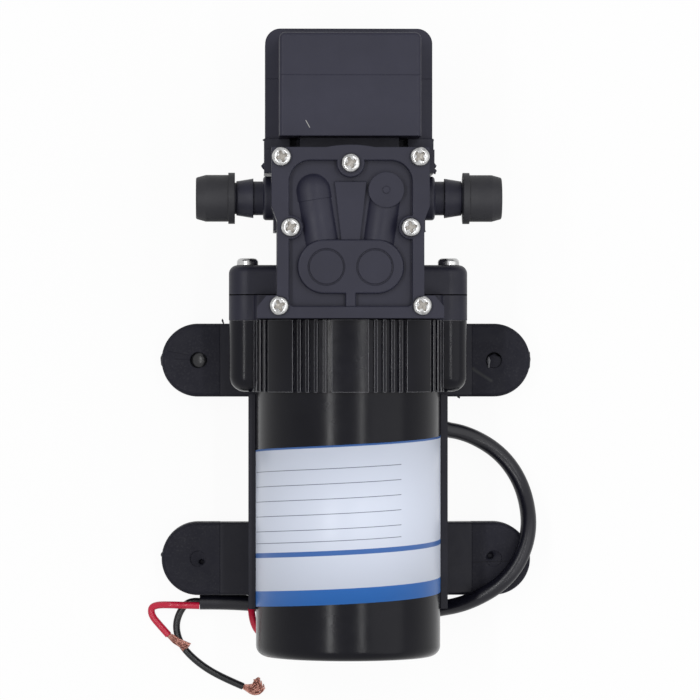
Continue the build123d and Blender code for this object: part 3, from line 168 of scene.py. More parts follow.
# A step on places or directions, which gives a number where it measures
def on_places(tree, operation, *values):
    step = add_step(tree, "ShaderNodeVectorMath", operation, *values)
    measures = operation in ("DOT_PRODUCT", "DISTANCE", "LENGTH")
    return step.outputs["Value" if measures else "Vector"]


def add_noise(tree, coordinates, scale, detail=3.0, roughness=0.5):
    noise = tree.nodes.new("ShaderNodeTexNoise")
    noise.inputs["Scale"].default_value = scale
    noise.inputs["Detail"].default_value = detail
    noise.inputs["Roughness"].default_value = roughness
    tree.links.new(coordinates, noise.inputs["Vector"])
    return noise.outputs["Fac"]


# Turn a pattern into a colour between two
def add_colours(tree, pattern, dark, light):
    ramp = tree.nodes.new("ShaderNodeValToRGB")
    low, high = ramp.color_ramp.elements
    low.position, high.position = noise_span
    low.color = (*dark, 1)
    high.color = (*light, 1)
    tree.links.new(pattern, ramp.inputs["Fac"])
    return ramp.outputs["Color"]


# Turn a pattern into a number between two, over the span that the pattern covers
def add_range(tree, pattern, low, high, span=noise_span):
    mapped = tree.nodes.new("ShaderNodeMapRange")
    mapped.inputs["From Min"].default_value, mapped.inputs["From Max"].default_value = span
    mapped.inputs["To Min"].default_value = low
    mapped.inputs["To Max"].default_value = high
    tree.links.new(pattern, mapped.inputs["Value"])
    return mapped.outputs["Result"]


def add_bump(tree, pattern, depth, strength=1.0, under=None):
    bump = tree.nodes.new("ShaderNodeBump")
    bump.inputs["Strength"].default_value = strength
    bump.inputs["Distance"].default_value = depth
    tree.links.new(pattern, bump.inputs["Height"])
    if under is not None:
        tree.links.new(under, bump.inputs["Normal"])
    return bump.outputs["Normal"]


def add_soft_edges(tree, radius):
    bevel = tree.nodes.new("ShaderNodeBevel")
    bevel.samples = 4
    bevel.inputs["Radius"].default_value = radius
    return bevel.outputs["Normal"]


# Lay a colour over what a surface has so far, as much as a pattern from 0 to 1 says
def lay_over(tree, shader, pattern, colour):
    mix = tree.nodes.new("ShaderNodeMix")
    mix.data_type = "RGBA"
    if isinstance(colour, bpy.types.NodeSocket):
        tree.links.new(colour, mix.inputs["B"])
    else:
        mix.inputs["B"].default_value = (*colour, 1)
    tree.links.new(pattern, mix.inputs["Factor"])
    tree.links.new(shader.inputs["Base Color"].links[0].from_socket, mix.inputs["A"])
    tree.links.new(mix.outputs["Result"], shader.inputs["Base Color"])


# A moulded or rubbed surface: mottled colour, fine grain and, where an edge is given, soft edges
def mould(name, dark, light, roughness, grain, edge, shine=0.5):
    grain_scale, grain_depth = grain
    material, tree, shader = start_material(name)
    shader.inputs["Specular IOR Level"].default_value = shine
    place = object_coordinates(tree)
    patches = add_noise(tree, place, scale=70, detail=4.0, roughness=0.6)
    tree.links.new(add_colours(tree, patches, dark, light), shader.inputs["Base Color"])
    streaks = add_noise(tree, place, scale=260, detail=5.0, roughness=0.7)
    tree.links.new(add_range(tree, streaks, *roughness), shader.inputs["Roughness"])
    grain_pattern = add_noise(tree, place, grain_scale, detail=2.0)
    edges = add_soft_edges(tree, edge) if edge else None
    normal = add_bump(tree, grain_pattern, grain_depth, under=edges)
    tree.links.new(normal, shader.inputs["Normal"])
    return material


# The satin moulding of the pump's head, its housing and its switch
def satin_plastic(name, dark, light):
    return mould(
        name, dark, light, roughness=(0.38, 0.50), grain=(3200, 0.000010), edge=0.00035, shine=0.24
    )


# Pale specks of dust over a moulded finish
def dust_over(material):
    tree = material.node_tree
    place = object_coordinates(tree)
    fine = add_noise(tree, place, scale=1500, roughness=0.7)
    coarse = add_noise(tree, place, scale=160)
    specks = add_range(tree, fine, -0.6, 0.5)
    patches = add_range(tree, coarse, 0.0, 1.0)
    settled = add_step(tree, "ShaderNodeMath", "MULTIPLY", specks, patches)
    settled.use_clamp = True
    lay_over(tree, find_shader(material), settled.outputs["Value"], dust_colour)
    return material


# Straight marks on a finish as seen from above, scratches, seams and the painted shade of
# creases: each mark is where it starts and ends, its half width and its colour
def draw_marks(material, marks):
    tree = material.node_tree
    place = object_coordinates(tree)
    for start, end, half_width, colour in marks:
        run = Vector((*end, 0)) - Vector((*start, 0))
        offset = on_places(tree, "MULTIPLY_ADD", place, (1, 1, 0), (-start[0], -start[1], 0))
        share = on_places(tree, "DOT_PRODUCT", offset, run / run.length_squared)
        nearest = add_step(tree, "ShaderNodeVectorMath", "SCALE", run)
        tree.links.new(add_range(tree, share, 0, 1, (0, 1)), nearest.inputs["Scale"])
        gap = on_places(tree, "DISTANCE", offset, nearest.outputs["Vector"])
        fade = (half_width, half_width * mark_core)
        lay_over(tree, find_shader(material), add_range(tree, gap, 0, 1, fade), colour)
    return material


# Pale painted highlights on the edges of a moulding, only farther than a distance from an axis
# along Y
def paint_edge_highlights(material, axis_height, least_reach, width, colour):
    tree = material.node_tree
    flat = tree.nodes.new("ShaderNodeNewGeometry").outputs["Normal"]
    facing = on_places(tree, "DOT_PRODUCT", flat, add_soft_edges(tree, width))
    highlight_share = add_range(tree, facing, 0, 1, highlight_span)
    place = object_coordinates(tree)
    from_axis = on_places(tree, "MULTIPLY_ADD", place, (1, 0, 1), (0, 0, -axis_height))
    outer = on_numbers(tree, "GREATER_THAN", on_places(tree, "LENGTH", from_axis), least_reach)
    line = on_numbers(tree, "MULTIPLY", highlight_share, outer)
    lay_over(tree, find_shader(material), line, colour)
    return material


# A dark line where two mouldings meet at a place along Y
def dark_joint(material, along, half_width):
    tree = material.node_tree
    shader = find_shader(material)
    split = tree.nodes.new("ShaderNodeSeparateXYZ")
    tree.links.new(object_coordinates(tree), split.inputs["Vector"])
    band = on_numbers(tree, "COMPARE", split.outputs["Y"], along, half_width)
    lay_over(tree, shader, band, (0, 0, 0))
    level = shader.inputs["Specular IOR Level"]
    tree.links.new(add_range(tree, band, level.default_value, 0.0, (0, 1)), level)
    return material


# A bare metal with fine random scratches
def metal(name, dark, light, roughness, edge=0.00012):
    material, tree, shader = start_material(name)
    place = object_coordinates(tree)
    patches = add_noise(tree, place, scale=900, detail=4.0, roughness=0.6)
    tree.links.new(add_colours(tree, patches, dark, light), shader.inputs["Base Color"])
    tree.links.new(add_range(tree, patches, *roughness), shader.inputs["Roughness"])
    shader.inputs["Metallic"].default_value = 1.0
    edges = add_soft_edges(tree, edge)
    normal = add_bump(tree, patches, depth=0.000004, strength=0.6, under=edges)
    tree.links.new(normal, shader.inputs["Normal"])
    return material


# Painted shade and dust in the crosses of the cover's screws, as a dull grey that is not metal
def shade_and_dust_crosses(material):
    tree = material.node_tree
    shader = find_shader(material)
    place = object_coordinates(tree)
    split = tree.nodes.new("ShaderNodeSeparateXYZ")
    tree.links.new(place, split.inputs["Vector"])
    flat = tree.nodes.new("ShaderNodeCombineXYZ")
    tree.links.new(split.outputs["X"], flat.inputs["X"])
    tree.links.new(split.outputs["Y"], flat.inputs["Y"])
    nearest = None
    for x, y in cover_screw_places:
        distance = on_places(tree, "DISTANCE", flat.outputs["Vector"], (x, y, 0))
        if nearest is not None:
            distance = on_numbers(tree, "MINIMUM", nearest, distance)
        nearest = distance
    inside = on_numbers(tree, "LESS_THAN", nearest, cross_reach)
    below = on_numbers(tree, "LESS_THAN", split.outputs["Z"], cross_height)
    recess = on_numbers(tree, "MULTIPLY", inside, below)
    # The recess is painted a mottled dull grey for its shade and its dust
    shade_and_dust_pattern = add_noise(tree, place, scale=1800)
    shade_and_dust = add_colours(tree, shade_and_dust_pattern, (0.24, 0.225, 0.205), (0.54, 0.51, 0.47))
    lay_over(tree, shader, recess, shade_and_dust)
    tree.links.new(add_range(tree, recess, 1.0, 0.2, (0, 1)), shader.inputs["Metallic"])
    return material


# Finishes of the moulded and rubber pieces

head_plastic = satin_plastic("head_plastic", (0.0125, 0.0125, 0.024), (0.0175, 0.0175, 0.032))
housing_plastic = dark_joint(
    satin_plastic("housing_plastic", (0.0105, 0.0105, 0.020), (0.015, 0.015, 0.028)),
    along=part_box("drive_housing")[1].y,
    half_width=0.00014,
)
switch_plastic = draw_marks(
    satin_plastic("switch_plastic", (0.014, 0.014, 0.027), (0.020, 0.020, 0.036)),
    [((-0.0114, 0.0880), (-0.0104, 0.0862), 0.00013, (0.42, 0.42, 0.40))],
)
# The collar's ribs get pale painted highlights along their outer edges
collar_plastic = paint_edge_highlights(
    mould(
        "collar_plastic", (0.0015, 0.0015, 0.004), (0.004, 0.004, 0.008),
        roughness=(0.18, 0.27), grain=(2400, 0.000008), edge=0.0003, shine=0.16,
    ),
    axis_height=motor_axis_height,
    least_reach=0.0250,
    width=0.00034,
    colour=(0.20, 0.20, 0.215),
)
base_plastic = mould(
    "base_plastic", (0.006, 0.006, 0.011), (0.010, 0.010, 0.017),
    roughness=(0.34, 0.50), grain=(2200, 0.000014), edge=0.0003, shine=0.18,
)
foot_rubber = draw_marks(
    dust_over(mould(
        "foot_rubber", (0.0065, 0.0065, 0.012), (0.010, 0.010, 0.017),
        roughness=(0.46, 0.62), grain=(1800, 0.00002), edge=0.0004, shine=0.14,
    )),
    [
        # Two dark lines left of the front left hole: painted shade of folds in the rubber
        ((-0.0474, 0.0289), (-0.0418, 0.0278), 0.00024, (0.003, 0.003, 0.008)),
        ((-0.0456, 0.0268), (-0.0412, 0.0265), 0.00026, (0.003, 0.003, 0.008)),
        ((0.0330, 0.0247), (0.0388, 0.0210), 0.00060, (0.030, 0.031, 0.034)),
        ((0.0334, -0.0275), (0.0437, -0.0272), 0.00020, (0.003, 0.003, 0.006)),
    ],
)
button_rubber = mould(
    "button_rubber", (0.008, 0.008, 0.010), (0.013, 0.013, 0.015),
    roughness=(0.26, 0.34), grain=(1800, 0.00001), edge=0.0002, shine=0.40,
)
pale_rubber = mould(
    "pale_rubber", (0.06, 0.06, 0.067), (0.10, 0.10, 0.11),
    roughness=(0.40, 0.55), grain=(1800, 0.00001), edge=0.0002,
)
cap_rubber = mould(
    "cap_rubber", (0.014, 0.014, 0.018), (0.019, 0.019, 0.023),
    roughness=(0.48, 0.62), grain=(1500, 0.00003), edge=0.0005, shine=0.32,
)
motor_paint = mould(
    "motor_paint", (0.0015, 0.0015, 0.004), (0.004, 0.004, 0.007),
    roughness=(0.18, 0.25), grain=(1300, 0.000006), edge=0.0003, shine=0.16,
)
inner_plastic = mould(
    "inner_plastic", (0.50, 0.48, 0.42), (0.58, 0.56, 0.50),
    roughness=(0.4, 0.5), grain=(2600, 0.00001), edge=0.0002,
)
carbon = mould(
    "carbon", (0.03, 0.03, 0.03), (0.05, 0.05, 0.05),
    roughness=(0.5, 0.7), grain=(3000, 0.00001), edge=0.0001,
)
magnet = mould(
    "magnet", (0.06, 0.06, 0.065), (0.08, 0.08, 0.085),
    roughness=(0.5, 0.65), grain=(2000, 0.00001), edge=0.0002,
)
seal_rubber = mould(
    "seal_rubber", (0.022, 0.022, 0.022), (0.03, 0.03, 0.03),
    roughness=(0.5, 0.65), grain=(1500, 0.00001), edge=0.0002,
)

# Finishes of the cords, and the metals

sleeve_vinyl = mould(
    "sleeve_vinyl", (0.003, 0.003, 0.007), (0.006, 0.006, 0.011),
    roughness=(0.28, 0.36), grain=(900, 0.000002), edge=0, shine=0.36,
)
black_vinyl = mould(
    "black_vinyl", (0.004, 0.004, 0.006), (0.007, 0.008, 0.010),
    roughness=(0.28, 0.36), grain=(1200, 0.000002), edge=0, shine=0.36,
)
red_vinyl = mould(
    "red_vinyl", (0.46, 0.006, 0.032), (0.58, 0.016, 0.056),
    roughness=(0.24, 0.34), grain=(1200, 0.000002), edge=0, shine=0.40,
)
screw_steel = metal("screw_steel", (0.36, 0.36, 0.36), (0.62, 0.62, 0.62), (0.16, 0.34))
inner_steel = metal("inner_steel", (0.44, 0.44, 0.46), (0.56, 0.56, 0.58), (0.22, 0.36))
core_steel = metal("core_steel", (0.16, 0.16, 0.17), (0.24, 0.24, 0.25), (0.4, 0.6))
copper = metal("copper", (0.17, 0.055, 0.045), (0.62, 0.33, 0.27), (0.30, 0.46), edge=0.00002)
cross_steel = shade_and_dust_crosses(
    metal("cross_steel", (0.26, 0.26, 0.26), (0.58, 0.58, 0.58), (0.16, 0.30))
)

node_finishes = {
    head_plastic: ["valve_cover", "valve_plate"],
    housing_plastic: ["pump_housing", "drive_housing"],
    switch_plastic: ["switch_body", "switch_cap"],
    collar_plastic: ["ribbed_collar"],
    base_plastic: ["base_cradle", "cable_grommet"],
    foot_rubber: ["foot_front_left", "foot_front_right", "foot_rear_left", "foot_rear_right"],
    cap_rubber: ["inlet_cap", "outlet_cap"],
    motor_paint: ["motor_can"],
    cross_steel: ["cover_screws"],
    screw_steel: ["clamp_screws", "switch_screws", "piston_screw", "adjusting_screw"],
    inner_steel: [
        "motor_shaft", "eccentric", "front_bearing", "rear_bearing", "drive_bearing",
        "rod_bearing", "motor_front_plate", "piston_plate", "switch_spring",
    ],
    core_steel: ["rotor_core"],
    magnet: ["motor_magnets"],
    copper: ["rotor_windings", "commutator"],
    carbon: ["brushes"],
    inner_plastic: ["brush_card", "connecting_rod", "switch_plunger", "microswitch_button"],
    seal_rubber: [
        "pump_diaphragm", "switch_diaphragm", "cover_gasket", "inlet_valve", "outlet_valve",
        "microswitch",
    ],
}
for finish, names in node_finishes.items():
    for name in names:
        nodes[name].data.materials.clear()
        nodes[name].data.materials.append(finish)


def show(name, data, finish):
    piece = bpy.data.objects.new(name, data)
    bpy.context.scene.collection.objects.link(piece)
    data.materials.append(finish)
    return piece


# Cords

sleeve_route = [
    (0.0090, 0.0801, 0.0100),
    (0.0090, 0.0695, 0.0096),
    (0.0130, 0.0570, 0.0074),
    (0.0176, 0.0460, 0.0082),
    (0.0208, 0.0345, 0.0117),
    (0.0203, 0.0172, 0.0110),
    (0.0238, 0.0084, 0.0076),
    (0.0330, 0.0069, 0.0034),
    (0.0424, 0.0011, 0.0025),
    (0.0481, -0.0083, 0.0044),
    (0.0491, -0.0202, 0.0114),
    (0.0438, -0.0314, 0.0130),
    (0.0330, -0.0383, 0.0103),
    (0.0224, -0.0406, 0.0042),
    (0.0095, -0.0424, 0.0022),
    (-0.0060, -0.0426, 0.0022),
    (-0.0229, -0.0382, 0.0023),
    (-0.0391, -0.0383, 0.0023),
]
black_route = [
    (-0.0390, -0.03826, 0.0016),
    (-0.0419, -0.0379, 0.0015),
    (-0.0446, -0.0410, 0.0010),
    (-0.0457, -0.0454, 0.0010),
    (-0.0440, -0.0504, 0.0010),
    (-0.0393, -0.0550, 0.0010),
    (-0.0336, -0.0585, 0.0010),
    (-0.0275, -0.0611, 0.0010),
]
red_route = [
    (-0.0392, -0.0393, 0.0030),
    (-0.0425, -0.0392, 0.0030),
    (-0.0466, -0.0390, 0.0042),
    (-0.0504, -0.0391, 0.0020),
    (-0.0522, -0.0399, 0.0012),
    (-0.0520, -0.0421, 0.0010),
    (-0.0499, -0.0446, 0.0010),
    (-0.0475, -0.0473, 0.0010),
]
red_strand_route = [
    (-0.0476, -0.0472, 0.0010),
    (-0.0450, -0.0489, 0.0024),
    (-0.0421, -0.0508, 0.0032),
]
black_strand_route = [
    (-0.0276, -0.06105, 0.0010),
    (-0.0254, -0.0619, 0.0012),
    (-0.0234, -0.0615, 0.0018),
    (-0.0228, -0.0600, 0.0018),
    (-0.0236, -0.0585, 0.0016),
]
motor_lead_route = [
    (-0.0164, -0.0459, 0.0146),
    (-0.0198, -0.0467, 0.0112),
    (-0.0232, -0.0466, 0.0088),
    (-0.0252, -0.0428, 0.0062),
    (-0.0253, -0.0396, 0.0034),
]


# A smooth line through the route, and a round cord where it has a radius
def lay_line(name, route, radius):
    curve = bpy.data.curves.new(name, "CURVE")
    curve.dimensions = "3D"
    spline = curve.splines.new("NURBS")
    spline.points.add(len(route) - 1)
    for point, place in zip(spline.points, route):
        point.co = (*place, 1)
    spline.order_u = 3
    spline.use_endpoint_u = True
    curve.resolution_u = 16
    curve.bevel_depth = radius
    curve.bevel_resolution = 7
    curve.use_fill_caps = radius > 0
    return curve


cable = show("cable", lay_line("cable", sleeve_route, sleeve_radius), sleeve_vinyl)
black_lead = show("black_lead", lay_line("black_lead", black_route, black_radius), black_vinyl)
red_lead = show("red_lead", lay_line("red_lead", red_route, red_radius), red_vinyl)
motor_lead = show("motor_lead", lay_line("motor_lead", motor_lead_route, red_radius), red_vinyl)


# The points of a route's smooth line
def read_line(name, route):
    line = bpy.data.objects.new(name, lay_line(name, route, 0))
    mesh = bpy.data.meshes.new_from_object(line)
    points = [vertex.co.copy() for vertex in mesh.vertices]
    bpy.data.objects.remove(line)
    bpy.data.meshes.remove(mesh)
    return points


# A bundle of fine wires along a route, as wide at its root, middle and end as it is given
def fray(name, route, wires, widths, twist, sway, uneven):
    line = read_line(name + "_line", route)
    last = len(line) - 1
    curve = bpy.data.curves.new(name, "CURVE")
    curve.dimensions = "3D"
    curve.bevel_depth = strand_radius
    curve.bevel_resolution = 1
    curve.use_fill_caps = True
    root, middle, end = widths
    for wire in range(wires):
        ring = math.sqrt((wire + 0.5) / wires)
        reach = 1 - uneven + uneven * math.sin(wire * reach_step)
        count = max(6, int(len(line) * reach))
        spline = curve.splines.new("POLY")
        spline.points.add(count - 1)
        for index in range(count):
            along = index / last
            ahead = (line[min(index + 1, last)] - line[max(index - 1, 0)]).normalized()
            side = ahead.cross(Vector((0, 0, 1))).normalized()
            up = side.cross(ahead)
            near = root if along < 0.5 else end
            width = (near + (middle - near) * math.sin(along * math.pi)) * ring
            angle = wire * golden_angle + twist * along
            side_sway = sway * along * math.sin(side_waves * along + wire * side_step)
            high_sway = sway * along * math.sin(high_waves * along + wire * high_step)
            across = width * math.cos(angle) + side_sway
            high = width * math.sin(angle) + high_sway
            place = line[index] + side * across + up * high
            place.z = max(place.z, strand_radius)
            spline.points[index].co = (*place, 1)
    bundle = bpy.data.objects.new(name, curve)
    mesh = bpy.data.meshes.new_from_object(bundle)
    bpy.data.objects.remove(bundle)
    return show(name, mesh, copper)


red_copper = fray(
    "red_copper",
    red_strand_route,
    wires=48,
    widths=(0.00055, 0.00095, 0.00160),
    twist=1.2,
    sway=0.00018,
    uneven=0.06,
)
black_copper = fray(
    "black_copper",
    black_strand_route,
    wires=84,
    widths=(0.00055, 0.00170, 0.00080),
    twist=1.4,
    sway=0.00060,
    uneven=0.22,
)

for piece, node, finish in (
    (cable, "cable_sleeve", "cable_sleeve"),
    (black_lead, "lead_black", "wire_black"),
    (red_lead, "lead_red", "wire_red"),
    (motor_lead, "motor_lead_red", "wire_red"),
    (red_copper, "red_strands", "copper"),
    (black_copper, "black_strands", "copper"),
):
    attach(piece, "pump")
    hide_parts(node)


# Motor label: a thin printed sheet round the can, a little askew

# Thin ruled rows of one length
def rule_rows(tree, split):
    start, end = label_row_ends
    span = on_numbers(tree, "COMPARE", split.outputs["X"], (start + end) / 2, (end - start) / 2)
    total = None
    for height in label_row_heights:
        band = on_numbers(tree, "COMPARE", split.outputs["Y"], height, label_row_half)
        row = on_numbers(tree, "MULTIPLY", band, span)
        total = row if total is None else on_numbers(tree, "MAXIMUM", total, row)
    return total


# Printed ground with stripes across the sheet, by its own map
def print_label():
    material, tree, shader = start_material("label_print")
    map_node = tree.nodes.new("ShaderNodeUVMap")
    map_node.uv_map = "label_map"
    split = tree.nodes.new("ShaderNodeSeparateXYZ")
    tree.links.new(map_node.outputs["UV"], split.inputs["Vector"])
    stripes = tree.nodes.new("ShaderNodeValToRGB")
    stripes.color_ramp.interpolation = "CONSTANT"
    elements = stripes.color_ramp.elements
    for element, (position, colour) in zip(elements, label_stripes):
        element.position, element.color = position, colour
    for position, colour in label_stripes[2:]:
        elements.new(position).color = colour
    tree.links.new(split.outputs["Y"], stripes.inputs["Fac"])
    tree.links.new(stripes.outputs["Color"], shader.inputs["Base Color"])
    lay_over(tree, shader, rule_rows(tree, split), label_row_grey)
    waves = add_noise(tree, object_coordinates(tree), scale=120, detail=2.0)
    tree.links.new(add_range(tree, waves, 0.30, 0.40), shader.inputs["Roughness"])
    shader.inputs["Specular IOR Level"].default_value = 0.34
    normal = add_bump(tree, waves, depth=0.00006, strength=0.5)
    tree.links.new(normal, shader.inputs["Normal"])
    return material


# The edges that close a row of corners into a loop
def close_loop(shape, corners):
    following = corners[1:] + corners[:1]
    return [shape.edges.new(pair) for pair in zip(corners, following)]


def make_label():
    shape = bmesh.new()
    inner = motor_radius + label_gap
    outer = inner + label_thickness
    start = Matrix.Rotation(-label_wrap, 4, "Y")
    corners = []
    for radius, y in (
        (inner, label_rear), (outer, label_rear), (outer, label_front), (inner, label_front)
    ):
        corner = start @ Vector((0, 0, radius))
        corners.append(shape.verts.new((corner.x, y - label_slope * label_wrap, corner.z)))
    bmesh.ops.spin(
        shape,
        geom=corners + close_loop(shape, corners),
        cent=(0, 0, 0),
        axis=(0, 1, 0),
        dvec=(0, 2 * label_slope * label_wrap / label_steps, 0),
        angle=2 * label_wrap,
        steps=label_steps,
    )
    bmesh.ops.holes_fill(shape, edges=[e for e in shape.edges if e.is_boundary], sides=4)
    bmesh.ops.recalc_face_normals(shape, faces=shape.faces[:])
    layer = shape.loops.layers.uv.new("label_map")
    length = label_front - label_rear
    for face in shape.faces:
        face.smooth = abs(face.normal.y) < 0.5
        for corner in face.loops:
            place = corner.vert.co
            angle = math.atan2(place.x, place.z)
            along = place.y - label_rear - label_slope * angle
            corner[layer].uv = ((angle + label_wrap) / (2 * label_wrap), along / length)
    bmesh.ops.translate(shape, verts=shape.verts[:], vec=(0, 0, motor_axis_height))
    mesh = bpy.data.meshes.new("motor_label")
    shape.to_mesh(mesh)
    shape.free()
    return mesh


motor_label = show("motor_label", make_label(), print_label())
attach(motor_label, "pump")


# Screw holes of the feet: each is closed by a thin skin of rubber from its mould

hole_across = 0.0395
hole_along = 0.0265
skin_radius = 0.0022
skin_height = 0.0078
skin_thickness = 0.00035

# The button: how far below its dome's middle it ends, its stretch, its drop and its tilt
button_foot = 0.0006
button_stretch = (1.18, 1.0, 0.60)
button_drop = 0.0006
button_tilt = -0.50

# The torn lid: its two cuts, its tip, its rounded edge, and how deep the skin below it lies
lid_cuts = [(1.08, 0.0016), (2.06, 0.0016)]
lid_tip = 0.10
lid_edge_share = 0.35
lid_floor_depth = 0.0030

# The welt: where it lies from the hole's middle, its half sizes and its waver
welt_offset = Vector((-0.0014, -0.0006, 0.0003))
welt_size = (0.00045, 0.00155, 0.00045)
welt_waver, welt_waves = 0.25, 5

# The pits: each ring's place, radius and height
rear_left_rings = [
    (0.0005, -0.0004, 0.0014, -0.0001),
    (0.0009, -0.0008, 0.0007, -0.0004),
    (0.0010, -0.0009, 0.0005, -0.0022),
]
rear_right_rings = [
    (-0.0005, 0.0004, 0.0015, -0.0001),
    (-0.0009, 0.0007, 0.0009, -0.0006),
    (-0.0010, 0.0007, 0.0006, -0.0022),
]


# Where two edges' faces meet at more than the angle, the edge stays sharp
def finish_shape(shape, name, finish, smooth_angle=0.7):
    bmesh.ops.remove_doubles(shape, verts=shape.verts[:], dist=0.000001)
    bmesh.ops.recalc_face_normals(shape, faces=shape.faces[:])
    for face in shape.faces:
        face.smooth = True
    for edge in shape.edges:
        edge.smooth = len(edge.link_faces) == 2 and edge.calc_face_angle() < smooth_angle
    mesh = bpy.data.meshes.new(name)
    shape.to_mesh(mesh)
    shape.free()
    return show(name, mesh, finish)


# Keep the part of a shape that lies on the near side of a plane
def cut_away(shape, place, facing):
    bmesh.ops.bisect_plane(
        shape,
        geom=shape.verts[:] + shape.edges[:] + shape.faces[:],
        plane_co=place,
        plane_no=facing,
        clear_outer=True,
    )


# A bmesh put into another, through a mesh that is then dropped
def join_shape(shape, part, name):
    mesh = bpy.data.meshes.new(name)
    part.to_mesh(mesh)
    part.free()
    shape.from_mesh(mesh)
    bpy.data.meshes.remove(mesh)


# A skin pressed up into a button
def make_button(name, hole):
    shape = bmesh.new()
    bmesh.ops.create_uvsphere(shape, u_segments=40, v_segments=20, radius=skin_radius)
    cut_away(shape, (0, 0, -button_foot), (0, 0, -1))
    bmesh.ops.holes_fill(shape, edges=[e for e in shape.edges if e.is_boundary], sides=0)
    bmesh.ops.scale(shape, verts=shape.verts[:], vec=button_stretch)
    tilted = Matrix.Rotation(button_tilt, 3, "Y")
    bmesh.ops.rotate(shape, verts=shape.verts[:], cent=(0, 0, 0), matrix=tilted)
    bmesh.ops.translate(shape, verts=shape.verts[:], vec=hole - Vector((0, 0, button_drop)))
    return finish_shape(shape, name, button_rubber)


# A skin that sinks to a small pit, off its middle
def make_pit(name, hole, rings):
    shape = bmesh.new()
    bmesh.ops.create_circle(shape, cap_ends=False, segments=40, radius=skin_radius)
    edges = shape.edges[:]
    for x, y, radius, height in rings:
        grown = bmesh.ops.extrude_edge_only(shape, edges=edges)["geom"]
        verts = [part for part in grown if isinstance(part, bmesh.types.BMVert)]
        edges = [part for part in grown if isinstance(part, bmesh.types.BMEdge)]
        middle = sum((vert.co for vert in verts), Vector()) / len(verts)
        across = max((vert.co - middle).length for vert in verts)
        bmesh.ops.translate(shape, verts=verts, vec=-middle)
        bmesh.ops.scale(shape, verts=verts, vec=(radius / across, radius / across, 1))
        bmesh.ops.translate(shape, verts=verts, vec=(x, y, height))
    bmesh.ops.holes_fill(shape, edges=edges, sides=0)
    bmesh.ops.recalc_face_normals(shape, faces=shape.faces[:])
    bmesh.ops.solidify(shape, geom=shape.faces[:], thickness=-skin_thickness)
    bmesh.ops.translate(shape, verts=shape.verts[:], vec=hole)
    return finish_shape(shape, name, foot_rubber)


# A lid torn from the skin along two edges, over the skin that is left below
def make_lid(name, hole):
    shape = bmesh.new()
    bmesh.ops.create_circle(shape, cap_ends=True, segments=48, radius=skin_radius)
    for angle, distance in lid_cuts:
        side = Vector((math.cos(angle), math.sin(angle), 0))
        cut_away(shape, side * distance, side)
    bmesh.ops.solidify(shape, geom=shape.faces[:], thickness=skin_thickness)
    bmesh.ops.bevel(
        shape,
        geom=shape.edges[:],
        offset=skin_thickness * lid_edge_share,
        segments=2,
        profile=0.5,
        affect="EDGES",
        material=-1,
    )
    tipped = Matrix.Rotation(-lid_tip, 3, "X")
    bmesh.ops.rotate(shape, verts=shape.verts[:], cent=(0, -skin_radius, 0), matrix=tipped)
    floor = bmesh.new()
    bmesh.ops.create_circle(floor, cap_ends=True, segments=48, radius=skin_radius)
    bmesh.ops.solidify(floor, geom=floor.faces[:], thickness=skin_thickness)
    bmesh.ops.translate(floor, verts=floor.verts[:], vec=(0, 0, -lid_floor_depth))
    join_shape(shape, floor, name + "_floor")
    bmesh.ops.translate(shape, verts=shape.verts[:], vec=hole)
    return finish_shape(shape, name, foot_rubber)


# The pale welt beside the lid, where the rubber was dragged up
def make_welt(name, hole):
    shape = bmesh.new()
    bmesh.ops.create_uvsphere(shape, u_segments=24, v_segments=12, radius=1)
    for vert in shape.verts:
        vert.co.x *= 1 + welt_waver * math.sin(welt_waves * vert.co.y)
    bmesh.ops.scale(shape, verts=shape.verts[:], vec=welt_size)
    bmesh.ops.translate(shape, verts=shape.verts[:], vec=hole + welt_offset)
    return finish_shape(shape, name, pale_rubber, smooth_angle=1.5)


front_left_hole = Vector((-hole_across, hole_along, skin_height))
front_right_hole = Vector((hole_across, hole_along, skin_height))
rear_left_hole = Vector((-hole_across, -hole_along, skin_height))
rear_right_hole = Vector((hole_across, -hole_along, skin_height))

for skin in (
    make_button("hole_skin_front_left", front_left_hole),
    make_lid("hole_skin_front_right", front_right_hole),
    make_welt("hole_welt", front_right_hole),
    make_pit("hole_skin_rear_left", rear_left_hole, rear_left_rings),
    make_pit("hole_skin_rear_right", rear_right_hole, rear_right_rings),
):
    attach(skin, "pump")


# Bits of moulding flash on the edges of the head and of the arms, and nubs on the feet's ends:
# each bit's middle, its half sizes and its turn

head_flash = [
    ((-0.02200, 0.0769, 0.0400), (0.00065, 0.00090, 0.0009), 0.3),
    ((0.02215, 0.0770, 0.0400), (0.00070, 0.00065, 0.0012), 0.0),
    ((0.02215, 0.0757, 0.0398), (0.00065, 0.00075, 0.0010), 0.4),
    ((-0.01900, 0.0603, 0.0405), (0.00060, 0.00070, 0.0008), 0.6),
    ((0.01915, 0.0600, 0.0405), (0.00075, 0.00045, 0.0008), 0.2),
    ((-0.02190, 0.0839, 0.0360), (0.00045, 0.00030, 0.0010), 0.0),
    ((0.02190, 0.0839, 0.0360), (0.00045, 0.00030, 0.0010), 0.0),
]
arm_flash = [
    ((-0.0329, 0.0369, 0.0070), (0.00025, 0.00070, 0.0003), 0.3),
    ((0.0301, 0.0168, 0.0070), (0.00040, 0.00055, 0.0003), 0.5),
]
foot_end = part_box("foot_front_right")[1].x
foot_flash = [
    ((-foot_end, 0.0266, 0.0040), (0.00030, 0.00160, 0.0020), 0.0),
    ((foot_end, 0.0266, 0.0040), (0.00030, 0.00190, 0.0020), 0.0),
    ((-foot_end, -0.0256, 0.0040), (0.00034, 0.00055, 0.0018), 0.0),
]


